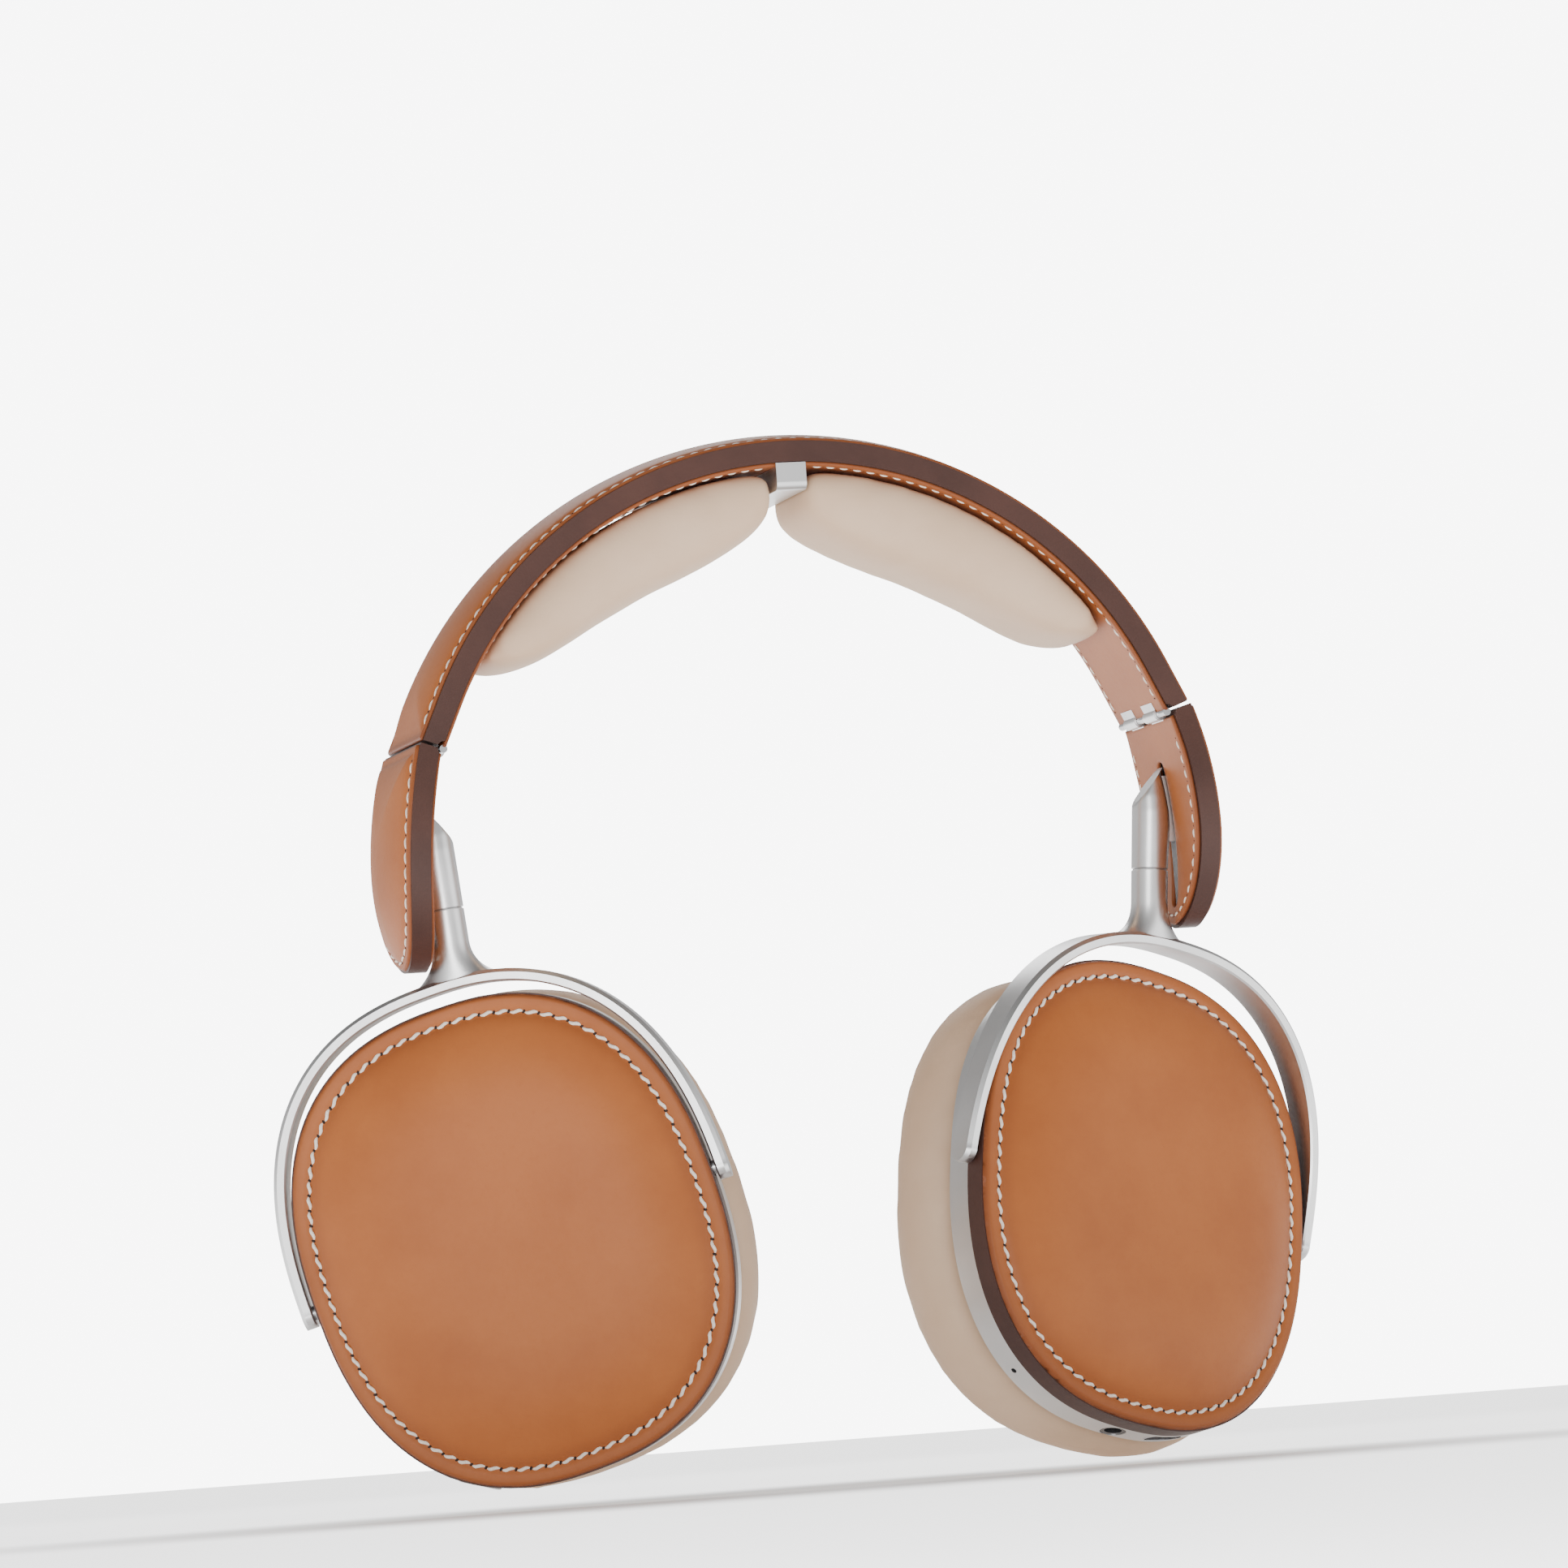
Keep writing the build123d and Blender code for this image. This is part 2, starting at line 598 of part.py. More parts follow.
def yoke(side, name):
    """Canted fork: a round stem, an arch over the cup and a rounded tip round each tilt pivot."""
    plane = yoke_plane(side, 0)
    inner = CUP_ACROSS + YOKE_GAP_ACROSS
    outwards = Axis(origin=plane.origin, direction=plane.z_dir)
    tall, top, tip = 2 * CUP_UP, ARM_DEPTH_TOP, ARM_DEPTH_TIP
    taper = ((-6, tip), (CUP_UP, top), (tall, top), (tall, -top), (CUP_UP, -top), (-6, -tip))
    with BuildPart() as fork:
        extrude(yoke_outline(plane, side), amount=ARM_DEPTH_TOP, both=True)
        chamfer(fork.faces().sort_by(outwards)[-1].edges(), length=ARM_CHAMFER)
        with BuildSketch(Plane(origin=plane.origin, x_dir=plane.x_dir, z_dir=plane.y_dir)):
            with BuildLine():
                Polyline(*taper, close=True)
            make_face()
        extrude(amount=2 * CUP_ACROSS, both=True, mode=Mode.INTERSECT)
        for end in (-1, 1):
            with BuildSketch(pivot_plane(plane, end, inner)):
                Circle(ARM_TIP_RADIUS)
            extrude(amount=ARM_THICK)
            with BuildSketch(pivot_plane(plane, end, 0)):
                Circle(PIVOT_RADIUS + 0.02)
            extrude(amount=inner + ARM_THICK - PIN_COVER, mode=Mode.SUBTRACT)
        with BuildSketch(stem_plane(side, 0)):
            Circle(STEM_RADIUS)
        extrude(amount=-STEM_ROUND_LENGTH - 6)
        with BuildSketch(stem_plane(side, 0)):
            Circle(SWIVEL_PIN_RADIUS)
        extrude(amount=-SWIVEL_PIN_HALF, mode=Mode.SUBTRACT)
    save(fork, f"{name}_yoke")


def pivot_plane(plane, end, distance):
    """Plane across the tilt axis, this far out towards one end of it."""
    outwards = plane.y_dir * end
    return Plane(origin=plane.origin + outwards * distance, x_dir=plane.x_dir, z_dir=outwards)


def pivot_pins(side, name):
    """The two pins that the cup tilts on."""
    plane = yoke_plane(side, 0)
    length = CUP_ACROSS + YOKE_GAP_ACROSS + ARM_THICK - PIN_COVER - PIVOT_INNER
    with BuildPart() as pins:
        for end in (-1, 1):
            with BuildSketch(pivot_plane(plane, end, PIVOT_INNER)):
                Circle(PIVOT_RADIUS)
            extrude(amount=length)
    save(pins, f"{name}_pivot_pins")


# ---------------------------------------------------------------- cups

def cup_cover(plane, name):
    """Leather cover: a flat stitched border with a low dome inside it, hollow underneath."""
    edge = BACKING_TOP + COVER_EDGE
    with BuildPart() as cover:
        extrude(oval(plane.offset(BACKING_TOP), CUP_UP - 0.3, CUP_ACROSS - 0.3), amount=COVER_EDGE)
        up, across = CUP_UP - BORDER, CUP_ACROSS - BORDER
        levels = [(edge + rise, up - step, across - step) for rise, step in COVER_STEPS]
        add(oval_loft(plane, levels))
        hollow = [tuple(size - COVER_WALL for size in level) for level in levels]
        add(oval_loft(plane, hollow), mode=Mode.SUBTRACT)
    save(cover, f"{name}_cup_cover")


def cup_backing(plane, name):
    """Painted leather layer under the cover's border, open in the middle, with a hole for each pivot pin."""
    height = BACKING_TOP - BACKING_BOTTOM
    with BuildPart() as backing:
        low = plane.offset(BACKING_BOTTOM)
        extrude(oval(low, CUP_UP, CUP_ACROSS), amount=height)
        extrude(oval(low, CUP_UP - BORDER, CUP_ACROSS - BORDER), amount=height, mode=Mode.SUBTRACT)
        with BuildSketch(pivot_plane(plane, 1, 0)):
            Circle(PIVOT_RADIUS + 0.4)
        extrude(amount=CUP_ACROSS + 2, both=True, mode=Mode.SUBTRACT)
    save(backing, f"{name}_cup_backing")


def stadium(plane, length, width):
    """A slot shape with round ends, long along x, as a face on this plane."""
    with BuildSketch(plane) as sketch:
        SlotOverall(length, width)
    return sketch.sketch


def usb_shell(plane):
    """Outline of the charging port's metal shell, as a face on this plane."""
    return stadium(plane, USB_WIDTH + 2 * USB_WALL, USB_HEIGHT + 2 * USB_WALL)


def cup_rim(plane, side, name):
    """Aluminium rim: a wall round the cup, a ledge for the baffle, a boss for each pivot pin, the ports."""
    height = BACKING_BOTTOM - RIM_BOTTOM
    low = plane.offset(RIM_BOTTOM)
    with BuildPart() as rim:
        extrude(oval(low, CUP_UP, CUP_ACROSS), amount=height)
        chamfer(rim.edges().group_by(Axis(origin=plane.origin, direction=plane.z_dir))[0], length=0.5)
        extrude(oval(low, CUP_UP - BORDER, CUP_ACROSS - BORDER), amount=height, mode=Mode.SUBTRACT)
        ledge = plane.offset(BAFFLE_BOTTOM)
        extrude(oval(ledge, CUP_UP - RIM_WALL, CUP_ACROSS - RIM_WALL), amount=height, mode=Mode.SUBTRACT)
        for end in (-1, 1):
            reach = sorted((end * (PIVOT_INNER - 0.5), end * (CUP_ACROSS - BORDER - 0.4)))
            add(box_prism(plane, (-BOSS_HALF, BOSS_HALF), reach, (BAFFLE_TOP + 0.4, BOSS_TOP)))
            foot = sorted((end * (PIVOT_INNER - 0.5), end * (CUP_ACROSS - RIM_WALL + 0.5)))
            add(box_prism(plane, (-BOSS_HALF, BOSS_HALF), foot, (BAFFLE_TOP + 0.4, BACKING_BOTTOM)))
        with BuildSketch(pivot_plane(plane, 1, 0)):
            Circle(PIVOT_RADIUS + RUNNING)
        extrude(amount=CUP_ACROSS + 3, both=True, mode=Mode.SUBTRACT)
        for angle in BUTTONS[name].values():
            hole = rim_plane(plane, -side * angle)
            length, width = (size + 2 * BUTTON_CLEAR for size in (BUTTON_LENGTH, BUTTON_WIDTH))
            extrude(stadium(hole.offset(1), length, width), amount=-RIM_WALL - 2, mode=Mode.SUBTRACT)
        if name == "left":
            with BuildSketch(rim_plane(plane, 0)):
                Circle(JACK_BARREL)
            extrude(amount=9, both=True, mode=Mode.SUBTRACT)
            extrude(usb_shell(rim_plane(plane, -side * USB_ANGLE)), amount=9, both=True, mode=Mode.SUBTRACT)
            with BuildSketch(rim_plane(plane, -side * MIC_ANGLE)):
                Circle(MIC_RADIUS)
            extrude(amount=RIM_WALL + 1, both=True, mode=Mode.SUBTRACT)
    save(rim, f"{name}_cup_rim")


def baffle(plane, side, name):
    """Plate across the cup that carries the driver, notched round the ports."""
    with BuildPart() as plate:
        low = plane.offset(BAFFLE_BOTTOM)
        step = RIM_WALL + BAFFLE_CLEAR
        extrude(oval(low, CUP_UP - step, CUP_ACROSS - step), amount=BAFFLE_TOP - BAFFLE_BOTTOM)
        with BuildSketch(low):
            Circle(DRIVER_OPENING)
            with PolarLocations(VENT_CIRCLE, VENT_COUNT):
                Circle(VENT_RADIUS)
            with PolarLocations(SCREW_CIRCLE, 4, start_angle=45):
                Circle(SCREW_RADIUS)
        extrude(amount=BAFFLE_TOP - BAFFLE_BOTTOM, mode=Mode.SUBTRACT)
        if name == "left":
            jack = (-CUP_UP, 1 - CUP_UP + JACK_LENGTH)
            add(box_prism(plane, jack, (-3.4, 3.4), (-9, 0)), mode=Mode.SUBTRACT)
            usb = rim_plane(plane, -side * USB_ANGLE)
            add(box_prism(usb, (-5.4, 5.4), (-4, 4), (-USB_LENGTH - 1, 0)), mode=Mode.SUBTRACT)
    save(plate, f"{name}_baffle")


def baffle_screws(plane, name):
    with BuildPart() as screws:
        with BuildSketch(plane.offset(BAFFLE_BOTTOM)):
            with PolarLocations(SCREW_CIRCLE, 4, start_angle=45):
                Circle(SCREW_RADIUS)
        extrude(amount=BAFFLE_TOP - BAFFLE_BOTTOM)
        with BuildSketch(plane.offset(BAFFLE_TOP)):
            with PolarLocations(SCREW_CIRCLE, 4, start_angle=45):
                Circle(SCREW_HEAD_RADIUS)
        extrude(amount=SCREW_HEAD_HEIGHT)
    save(screws, f"{name}_baffle_screws")


def driver(plane, name):
    """Loudspeaker: basket flange on the baffle with the magnet behind it."""
    with BuildPart() as unit:
        with BuildSketch(plane.offset(BAFFLE_TOP)):
            Circle(FLANGE_RADIUS)
        extrude(amount=FLANGE_THICK)
        with BuildSketch(plane.offset(BAFFLE_TOP + FLANGE_THICK)):
            Circle(MAGNET_RADIUS)
        extrude(amount=MAGNET_HEIGHT)
        fillet(unit.faces().sort_by(Axis(origin=plane.origin, direction=plane.z_dir))[-1].edges(), radius=1)
    save(unit, f"{name}_driver")


def diaphragm(plane, name):
    """Thin domed membrane in the baffle's opening."""
    with BuildPart() as dome:
        with BuildSketch(plane.offset(BAFFLE_TOP)):
            Circle(MEMBRANE_RADIUS)
        extrude(amount=-MEMBRANE_THICK)
        with BuildSketch(plane.offset(BAFFLE_TOP - MEMBRANE_THICK)):
            Circle(MEMBRANE_DOME_RADIUS)
        extrude(amount=-1)
    save(dome, f"{name}_diaphragm")


def circuit_board(plane, name):
    """Board above the magnet with its larger chips."""
    with BuildPart() as board:
        add(box_prism(plane, BOARD_SPAN, (-BOARD_HALF_WIDTH, BOARD_HALF_WIDTH), (BOARD_BOTTOM, BOARD_TOP)))
        for x, y, size in CHIPS:
            x_range, y_range = (x - size / 2, x + size / 2), (y - size / 2, y + size / 2)
            add(box_prism(plane, x_range, y_range, (BOARD_TOP, BOARD_TOP + CHIP_HEIGHT)))
    save(board, f"{name}_circuit_board")


def cushion_plate(plane, name):
    """Plastic ring under the rim that the ear cushion's cover is stretched over."""
    with BuildPart() as plate:
        low = plane.offset(PLATE_BOTTOM)
        extrude(oval(low, CUP_UP - PLATE_STEP, CUP_ACROSS - PLATE_STEP), amount=RIM_BOTTOM - PLATE_BOTTOM)
        extrude(oval(low, EAR_HOLE_UP + 5, EAR_HOLE_ACROSS + 5), amount=2, mode=Mode.SUBTRACT)
    save(plate, f"{name}_cushion_plate")


def ear_mesh(plane, name):
    """Thin cloth over the driver, inside the cushion plate."""
    with BuildPart() as mesh:
        level = plane.offset(RIM_BOTTOM - 0.2)
        extrude(oval(level, EAR_HOLE_UP + 4.8, EAR_HOLE_ACROSS + 4.8), amount=-MESH_THICK)
    save(mesh, f"{name}_ear_mesh")


def ear_cushion(plane, name):
    """Plain solid of the ear cushion, widest in the middle of its thickness, with the hollow for the ear."""
    with BuildPart() as cushion:
        add(oval_loft(plane, CUSHION_LEVELS))
        hole = oval(plane.offset(CUSHION_LEVELS[-1][0] - 1), EAR_HOLE_UP, EAR_HOLE_ACROSS)
        extrude(hole, amount=30, mode=Mode.SUBTRACT)
    save(cushion, f"{name}_ear_cushion")


def battery(plane):
    with BuildPart() as cell:
        add(box_prism(plane, BATTERY_SPAN, (-BATTERY_HALF_WIDTH, BATTERY_HALF_WIDTH), BATTERY_HEIGHTS))
        fillet(cell.edges().filter_by(Axis(origin=(0, 0, 0), direction=plane.z_dir)), radius=1.5)
    save(cell, "battery")


def jack_socket(plane):
    """Barrel for a 3.5 mm plug, flush with the rim."""
    mouth = rim_plane(plane, 0)
    with BuildPart() as socket:
        with BuildSketch(mouth.offset(-JACK_LENGTH - 1)):
            Circle(JACK_BARREL)
        extrude(amount=JACK_LENGTH + 0.8)
        with BuildSketch(mouth.offset(-JACK_LENGTH)):
            Circle(JACK_RADIUS)
        extrude(amount=JACK_LENGTH, mode=Mode.SUBTRACT)
    save(socket, "jack_socket")


def usb_port(plane):
    """Metal shell of the charging port, closed at the back, with the contact tongue inside."""
    mouth = rim_plane(plane, -USB_ANGLE)
    back = mouth.offset(-USB_LENGTH)
    with BuildPart() as port:
        extrude(usb_shell(back), amount=USB_LENGTH - 0.2)
        extrude(stadium(back.offset(0.8), USB_WIDTH, USB_HEIGHT), amount=USB_LENGTH, mode=Mode.SUBTRACT)
        half_width, half_thick = USB_TONGUE
        add(box_prism(back, (-half_width, half_width), (-half_thick, half_thick), (0.4, USB_LENGTH - 1.2)))
    save(port, "usb_port")


def control_button(plane, side, name, angle):
    """Push button with round ends that stands a little proud of the rim."""
    hole = rim_plane(plane, -side * angle)
    outwards = Axis(origin=hole.origin, direction=hole.z_dir)
    with BuildPart() as button:
        extrude(stadium(hole.offset(BUTTON_PROUD), BUTTON_LENGTH, BUTTON_WIDTH), amount=-BUTTON_DEPTH)
        fillet(button.faces().sort_by(outwards)[-1].edges(), radius=0.4)
    save(button, name)


# ---------------------------------------------------------------- all pieces

os.makedirs("parts", exist_ok=True)
half_skin = BAND_WIDTH / 2 - LEATHER_INSET
band_layer(-CORE_THICK, 0, BAND_WIDTH / 2, 0, "headband_core", hollow=-CORE_THICK / 2)
band_layer(0, SKIN_EDGE, half_skin, BAND_DOME - SKIN_EDGE, "headband_cover")
band_layer(-CORE_THICK - LINING_THICK, -CORE_THICK, half_skin, 0, "headband_lining")
headband_spring()
centre_clip()
for name, side in SIDES.items():
    crown_pad(side, name)
    upper_leaf(side, name)
    hinge_pin(side, name)
    lower_leaf(side, name)
    inner, edge = TAB_RADIUS - TAB_THICK, TAB_RADIUS + SKIN_EDGE
    tab_layer(side, f"{name}_tab_core", inner, TAB_RADIUS)
    tab_layer(side, f"{name}_tab_cover", TAB_RADIUS, edge, TAB_DOME - SKIN_EDGE, LEATHER_INSET)
    tab_layer(side, f"{name}_tab_lining", inner - LINING_THICK, inner, 0, LEATHER_INSET)
    slide_rail(side, name)
    stem_socket(side, name)
    swivel_pin(side, name)
    yoke(side, name)
    pivot_pins(side, name)
    cup = yoke_plane(side, CUP_TILT[name])
    cup_cover(cup, name)
    cup_backing(cup, name)
    cup_rim(cup, side, name)
    baffle(cup, side, name)
    baffle_screws(cup, name)
    driver(cup, name)
    diaphragm(cup, name)
    circuit_board(cup, name)
    cushion_plate(cup, name)
    ear_mesh(cup, name)
    ear_cushion(cup, name)
    for button, angle in BUTTONS[name].items():
        control_button(cup, side, button, angle)
battery(yoke_plane(-1, CUP_TILT["right"]))
jack_socket(yoke_plane(1, CUP_TILT["left"]))
usb_port(yoke_plane(1, CUP_TILT["left"]))
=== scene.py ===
import json
import math

import bpy
import numpy as np
from mathutils import Matrix, Vector


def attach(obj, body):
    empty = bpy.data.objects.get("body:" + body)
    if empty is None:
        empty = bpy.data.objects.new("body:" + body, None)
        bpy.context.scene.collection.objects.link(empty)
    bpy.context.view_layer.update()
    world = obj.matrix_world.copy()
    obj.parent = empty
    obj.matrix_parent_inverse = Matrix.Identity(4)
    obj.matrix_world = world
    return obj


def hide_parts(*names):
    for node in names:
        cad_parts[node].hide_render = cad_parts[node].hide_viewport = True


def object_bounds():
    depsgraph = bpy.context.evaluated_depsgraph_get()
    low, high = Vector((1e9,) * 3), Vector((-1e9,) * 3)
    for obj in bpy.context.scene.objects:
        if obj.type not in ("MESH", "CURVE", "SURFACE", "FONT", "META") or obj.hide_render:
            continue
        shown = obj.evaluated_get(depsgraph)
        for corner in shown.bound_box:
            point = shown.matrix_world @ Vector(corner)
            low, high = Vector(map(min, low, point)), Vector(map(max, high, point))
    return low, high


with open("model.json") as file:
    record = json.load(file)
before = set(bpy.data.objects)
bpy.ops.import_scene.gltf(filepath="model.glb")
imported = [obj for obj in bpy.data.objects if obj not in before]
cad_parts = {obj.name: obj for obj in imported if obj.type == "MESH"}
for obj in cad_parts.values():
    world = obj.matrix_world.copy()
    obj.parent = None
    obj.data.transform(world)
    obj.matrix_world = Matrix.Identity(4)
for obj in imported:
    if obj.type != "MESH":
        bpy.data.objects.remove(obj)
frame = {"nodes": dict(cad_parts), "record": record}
cad_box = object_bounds()

MM = 0.001
SIDES = {"left": 1, "right": -1}

# Sizes of the headphones in millimetres, in the frame's own axes.
BAND_RADIUS = 83.5
BAND_CENTRE_Z = -73.6
BAND_HALF_ANGLE = math.radians(65.0)
BAND_HALF_WIDTH = 15.5
LINING_RADIUS = 78.5
LINING_DEPTH = BAND_RADIUS - LINING_RADIUS
SKIN_EDGE = 0.7
BAND_DOME = 2.1
HINGE = (75.4, -48.6)
HINGE_TILT = math.radians(20.5)
HINGE_GAP = 0.35
JOINT_LEAN = 0.079          # how much earlier the joint face cuts the band per millimetre of depth
TAB_CENTRE = (-17.8, -75.4)
TAB_RADIUS = 102.0
TAB_LINING_RADIUS = 97.2
TAB_DOME = 2.5
TAB_OUTLINE = (             # half width and height, down one edge
    (15.8, -47.6),
    (17.0, -56.0),
    (17.2, -65.0),
    (16.7, -73.0),
    (14.9, -79.6),
    (12.2, -84.6),
    (8.6, -88.3),
    (4.6, -90.6),
)
TAB_TIP_Z = -91.4
TAB_MIDDLE = np.array((0, -66.0))
RAIL_SLOT = (-87.4, -57.4, 1.6)     # bottom, top and half width
STEM = (73.96, -79.5)
STEM_LEAN = math.radians(5.27)
SWIVEL = math.radians(69.0)
YOKE_CANT = math.radians(10.56)
PIVOT_DROP = 67.2
PIVOT_FORWARD = 3.2
CUP_TILT = {"left": math.radians(11.1), "right": 0.0}
OVAL_POWER = 2.4
CUP_UP = 48.3
CUP_ACROSS = 41.9
COVER_BASE = 3.1
COVER_EDGE = 1.2
COVER_DOME = 5.4
EAR_HOLE = (30.0, 21.5)
# Cushion sections: height over the tilt axis, half size up the cup, half size across it.
CUSHION_BACK = -8.7
CUSHION_WALL = (
    (CUSHION_BACK, 46.6, 40.2),
    (-11.0, 48.4, 43.0),
    (-14.5, 49.3, 44.6),
    (-18.5, 49.6, 45.1),
    (-22.0, 48.8, 44.2),
    (-24.6, 47.0, 42.4),
    (-26.2, 44.2, 39.6),
)
CUSHION_FRONT = ((-26.8, 40.5, 35.4), (-26.4, 36.6, 30.6), (-24.8, 33.2, 26.2))
CUSHION_THROAT = ((-22.0, 1.6), (-15.0, 0.6))   # height, and how much wider than the ear's opening
CUSHION_SEAM = (38.2, 32.2)         # half size up the cup and across it
CUSHION_HELD = -11.5        # cloth over this height stays where it is
PAD_HALF_WIDTH = 15.2
PAD_START = 2.6
PAD_END = 57.0
PAD_GAP = 0.4
PAD_DEPTHS = (              # degrees from the top of the band, and depth under the lining
    (PAD_START, 8.4),
    (5.0, 11.8),
    (9.0, 14.0),
    (14.0, 15.6),
    (20.0, 16.3),
    (33.0, 15.6),
    (44.0, 13.6),
    (50.0, 11.4),
    (54.0, 8.2),
    (PAD_END, 3.4),
)


# ---------------------------------------------------------------- shader helpers

def new_material(name, base, roughness, metallic=0.0, **fixed):
    """A Principled material. fixed gives constant values for its other sockets."""
    material = bpy.data.materials.new(name)
    material.use_nodes = True
    shader = material.node_tree.nodes["Principled BSDF"]
    shader.inputs["Base Color"].default_value = (*base, 1)
    shader.inputs["Roughness"].default_value = roughness
    shader.inputs["Metallic"].default_value = metallic
    for key, value in fixed.items():
        shader.inputs[key.replace("_", " ")].default_value = value
    return material, material.node_tree, shader


def texture(tree, kind, scale, **settings):
    """A 3-D texture node on object coordinates, with features per metre."""
    node = tree.nodes.new(kind)
    coordinates = tree.nodes.get("coordinates")
    if coordinates is None:
        coordinates = tree.nodes.new("ShaderNodeTexCoord")
        coordinates.name = "coordinates"
    tree.links.new(coordinates.outputs["Object"], node.inputs["Vector"])
    node.inputs["Scale"].default_value = scale
    for key, value in settings.items():
        node.inputs[key].default_value = value
    return node


def ramp(tree, source, stops):
    """A colour ramp from a value, with stops of (position, grey or colour)."""
    node = tree.nodes.new("ShaderNodeValToRGB")
    elements = node.color_ramp.elements
    while len(elements) < len(stops):
        elements.new(0.5)
    for element, (position, colour) in zip(elements, stops):
        element.position = position
        element.color = (*colour, 1) if isinstance(colour, tuple) else (colour, colour, colour, 1)
    tree.links.new(source, node.inputs["Fac"])
    return node.outputs["Color"]


def mix_colour(tree, factor, first, second):
    """second laid over first by a factor socket. first and second are colours or sockets."""
    node = tree.nodes.new("ShaderNodeMix")
    node.data_type = "RGBA"
    tree.links.new(factor, node.inputs["Factor"])
    for name, value in (("A", first), ("B", second)):
        target = next(i for i in node.inputs if i.name == name and i.type == "RGBA")
        if isinstance(value, tuple):
            target.default_value = (*value, 1)
        else:
            tree.links.new(value, target)
    return next(o for o in node.outputs if o.type == "RGBA")


def bump(tree, shader, layers):
    """Chains bump nodes into the shader's normal. layers are (height socket, strength, distance in mm)."""
    normal = None
    for height, strength, distance in layers:
        node = tree.nodes.new("ShaderNodeBump")
        node.inputs["Strength"].default_value = strength
        node.inputs["Distance"].default_value = distance * MM
        tree.links.new(height, node.inputs["Height"])
        if normal is not None:
            tree.links.new(normal, node.inputs["Normal"])
        normal = node.outputs["Normal"]
    tree.links.new(normal, shader.inputs["Normal"])


def map_range(tree, source, start, end, low, high):
    """A node that takes a value from one range to another."""
    node = tree.nodes.new("ShaderNodeMapRange")
    for key, value in (("From Min", start), ("From Max", end), ("To Min", low), ("To Max", high)):
        node.inputs[key].default_value = value
    tree.links.new(source, node.inputs["Value"])
    return node


def link_roughness(tree, shader, source, low, high):
    """Varies the roughness between two values with a texture."""
    node = map_range(tree, source, 0, 1, low, high)
    tree.links.new(node.outputs["Result"], shader.inputs["Roughness"])


def leather(name, base, deep, grain, pore_depth, roughness, coat, burnish_and_shade=None):
    """Leather: mottled colour, fine pores and creases, and a darker colour where the mesh says so, on
    burnished cut edges and as painted shade in grooves, seams and against other parts.
    """
    material, tree, shader = new_material(name, base, roughness[0], Coat_Weight=coat, Coat_Roughness=0.35)
    shader.inputs["Sheen Weight"].default_value = 0.02
    shader.inputs["Specular IOR Level"].default_value = 0.24
    cloud = texture(tree, "ShaderNodeTexNoise", 38, Detail=4.0, Roughness=0.6)
    fleck = texture(tree, "ShaderNodeTexNoise", 900, Detail=5.0, Roughness=0.7)
    pores = texture(tree, "ShaderNodeTexVoronoi", grain, Randomness=1.0)
    colour = mix_colour(tree, ramp(tree, cloud.outputs["Fac"], ((0.36, 0.0), (0.68, 1.0))), base, deep)
    colour = mix_colour(tree, ramp(tree, fleck.outputs["Fac"], ((0.55, 0.0), (0.8, 0.35))), colour, deep)
    # Darker colour laid on by a mesh attribute: burnished cut edges, and painted shade where a piece sets
    # it.
    if burnish_and_shade:
        edge = tree.nodes.new("ShaderNodeAttribute")
        edge.attribute_name = "burnish_and_shade"
        colour = mix_colour(tree, edge.outputs["Fac"], colour, burnish_and_shade)
    tree.links.new(colour, shader.inputs["Base Color"])
    link_roughness(tree, shader, fleck.outputs["Fac"], *roughness)
    creases = texture(tree, "ShaderNodeTexNoise", grain * 0.35, Detail=6.0, Roughness=0.65)
    bump(tree, shader, (
        (pores.outputs["Distance"], 0.5, pore_depth),
        (creases.outputs["Fac"], 0.45, pore_depth),
    ))
    return material


def metal(name, base, roughness, blast, depth):
    """Metal with a fine blasted or turned surface and slight unevenness in its polish."""
    material, tree, shader = new_material(name, base, roughness[0], metallic=1.0)
    grain = texture(tree, "ShaderNodeTexNoise", blast, Detail=3.0, Roughness=0.6)
    cloud = texture(tree, "ShaderNodeTexNoise", 60, Detail=3.0, Roughness=0.5)
    darker = tuple(0.9 * c for c in base)
    colour = mix_colour(tree, ramp(tree, cloud.outputs["Fac"], ((0.35, 0.0), (0.7, 1.0))), base, darker)
    tree.links.new(colour, shader.inputs["Base Color"])
    link_roughness(tree, shader, cloud.outputs["Fac"], *roughness)
    bump(tree, shader, ((grain.outputs["Fac"], 0.35, depth),))
    return material


def plastic(name, base, roughness, texture_scale=2200, depth=0.01):
    """Moulded plastic or film with a fine spark-eroded texture."""
    material, tree, shader = new_material(name, base, roughness[0])
    grain = texture(tree, "ShaderNodeTexNoise", texture_scale, Detail=3.0, Roughness=0.6)
    lighter = tuple(min(1.0, 1.25 * c + 0.004) for c in base)
    colour = mix_colour(tree, ramp(tree, grain.outputs["Fac"], ((0.4, 0.0), (0.75, 1.0))), base, lighter)
    tree.links.new(colour, shader.inputs["Base Color"])
    link_roughness(tree, shader, grain.outputs["Fac"], *roughness)
    bump(tree, shader, ((grain.outputs["Fac"], 0.3, depth),))
    return material


def woven(name, base, gap, pitch):
    """Fine plain weave: two crossed sets of threads over dark gaps. pitch is in millimetres."""
    material, tree, shader = new_material(name, base, 0.8)
    waves = []
    for direction in ("X", "Z"):
        node = texture(tree, "ShaderNodeTexWave", 0.314 / (pitch * MM) / 2, Distortion=0.3)
        node.bands_direction = direction
        waves.append(node.outputs["Fac"])
    crossed = tree.nodes.new("ShaderNodeMath")
    crossed.operation = "MULTIPLY"
    tree.links.new(waves[0], crossed.inputs[0])
    tree.links.new(waves[1], crossed.inputs[1])
    colour = mix_colour(tree, ramp(tree, crossed.outputs[0], ((0.15, 0.0), (0.45, 1.0))), gap, base)
    tree.links.new(colour, shader.inputs["Base Color"])
    bump(tree, shader, ((crossed.outputs[0], 0.6, 0.08),))
    return material


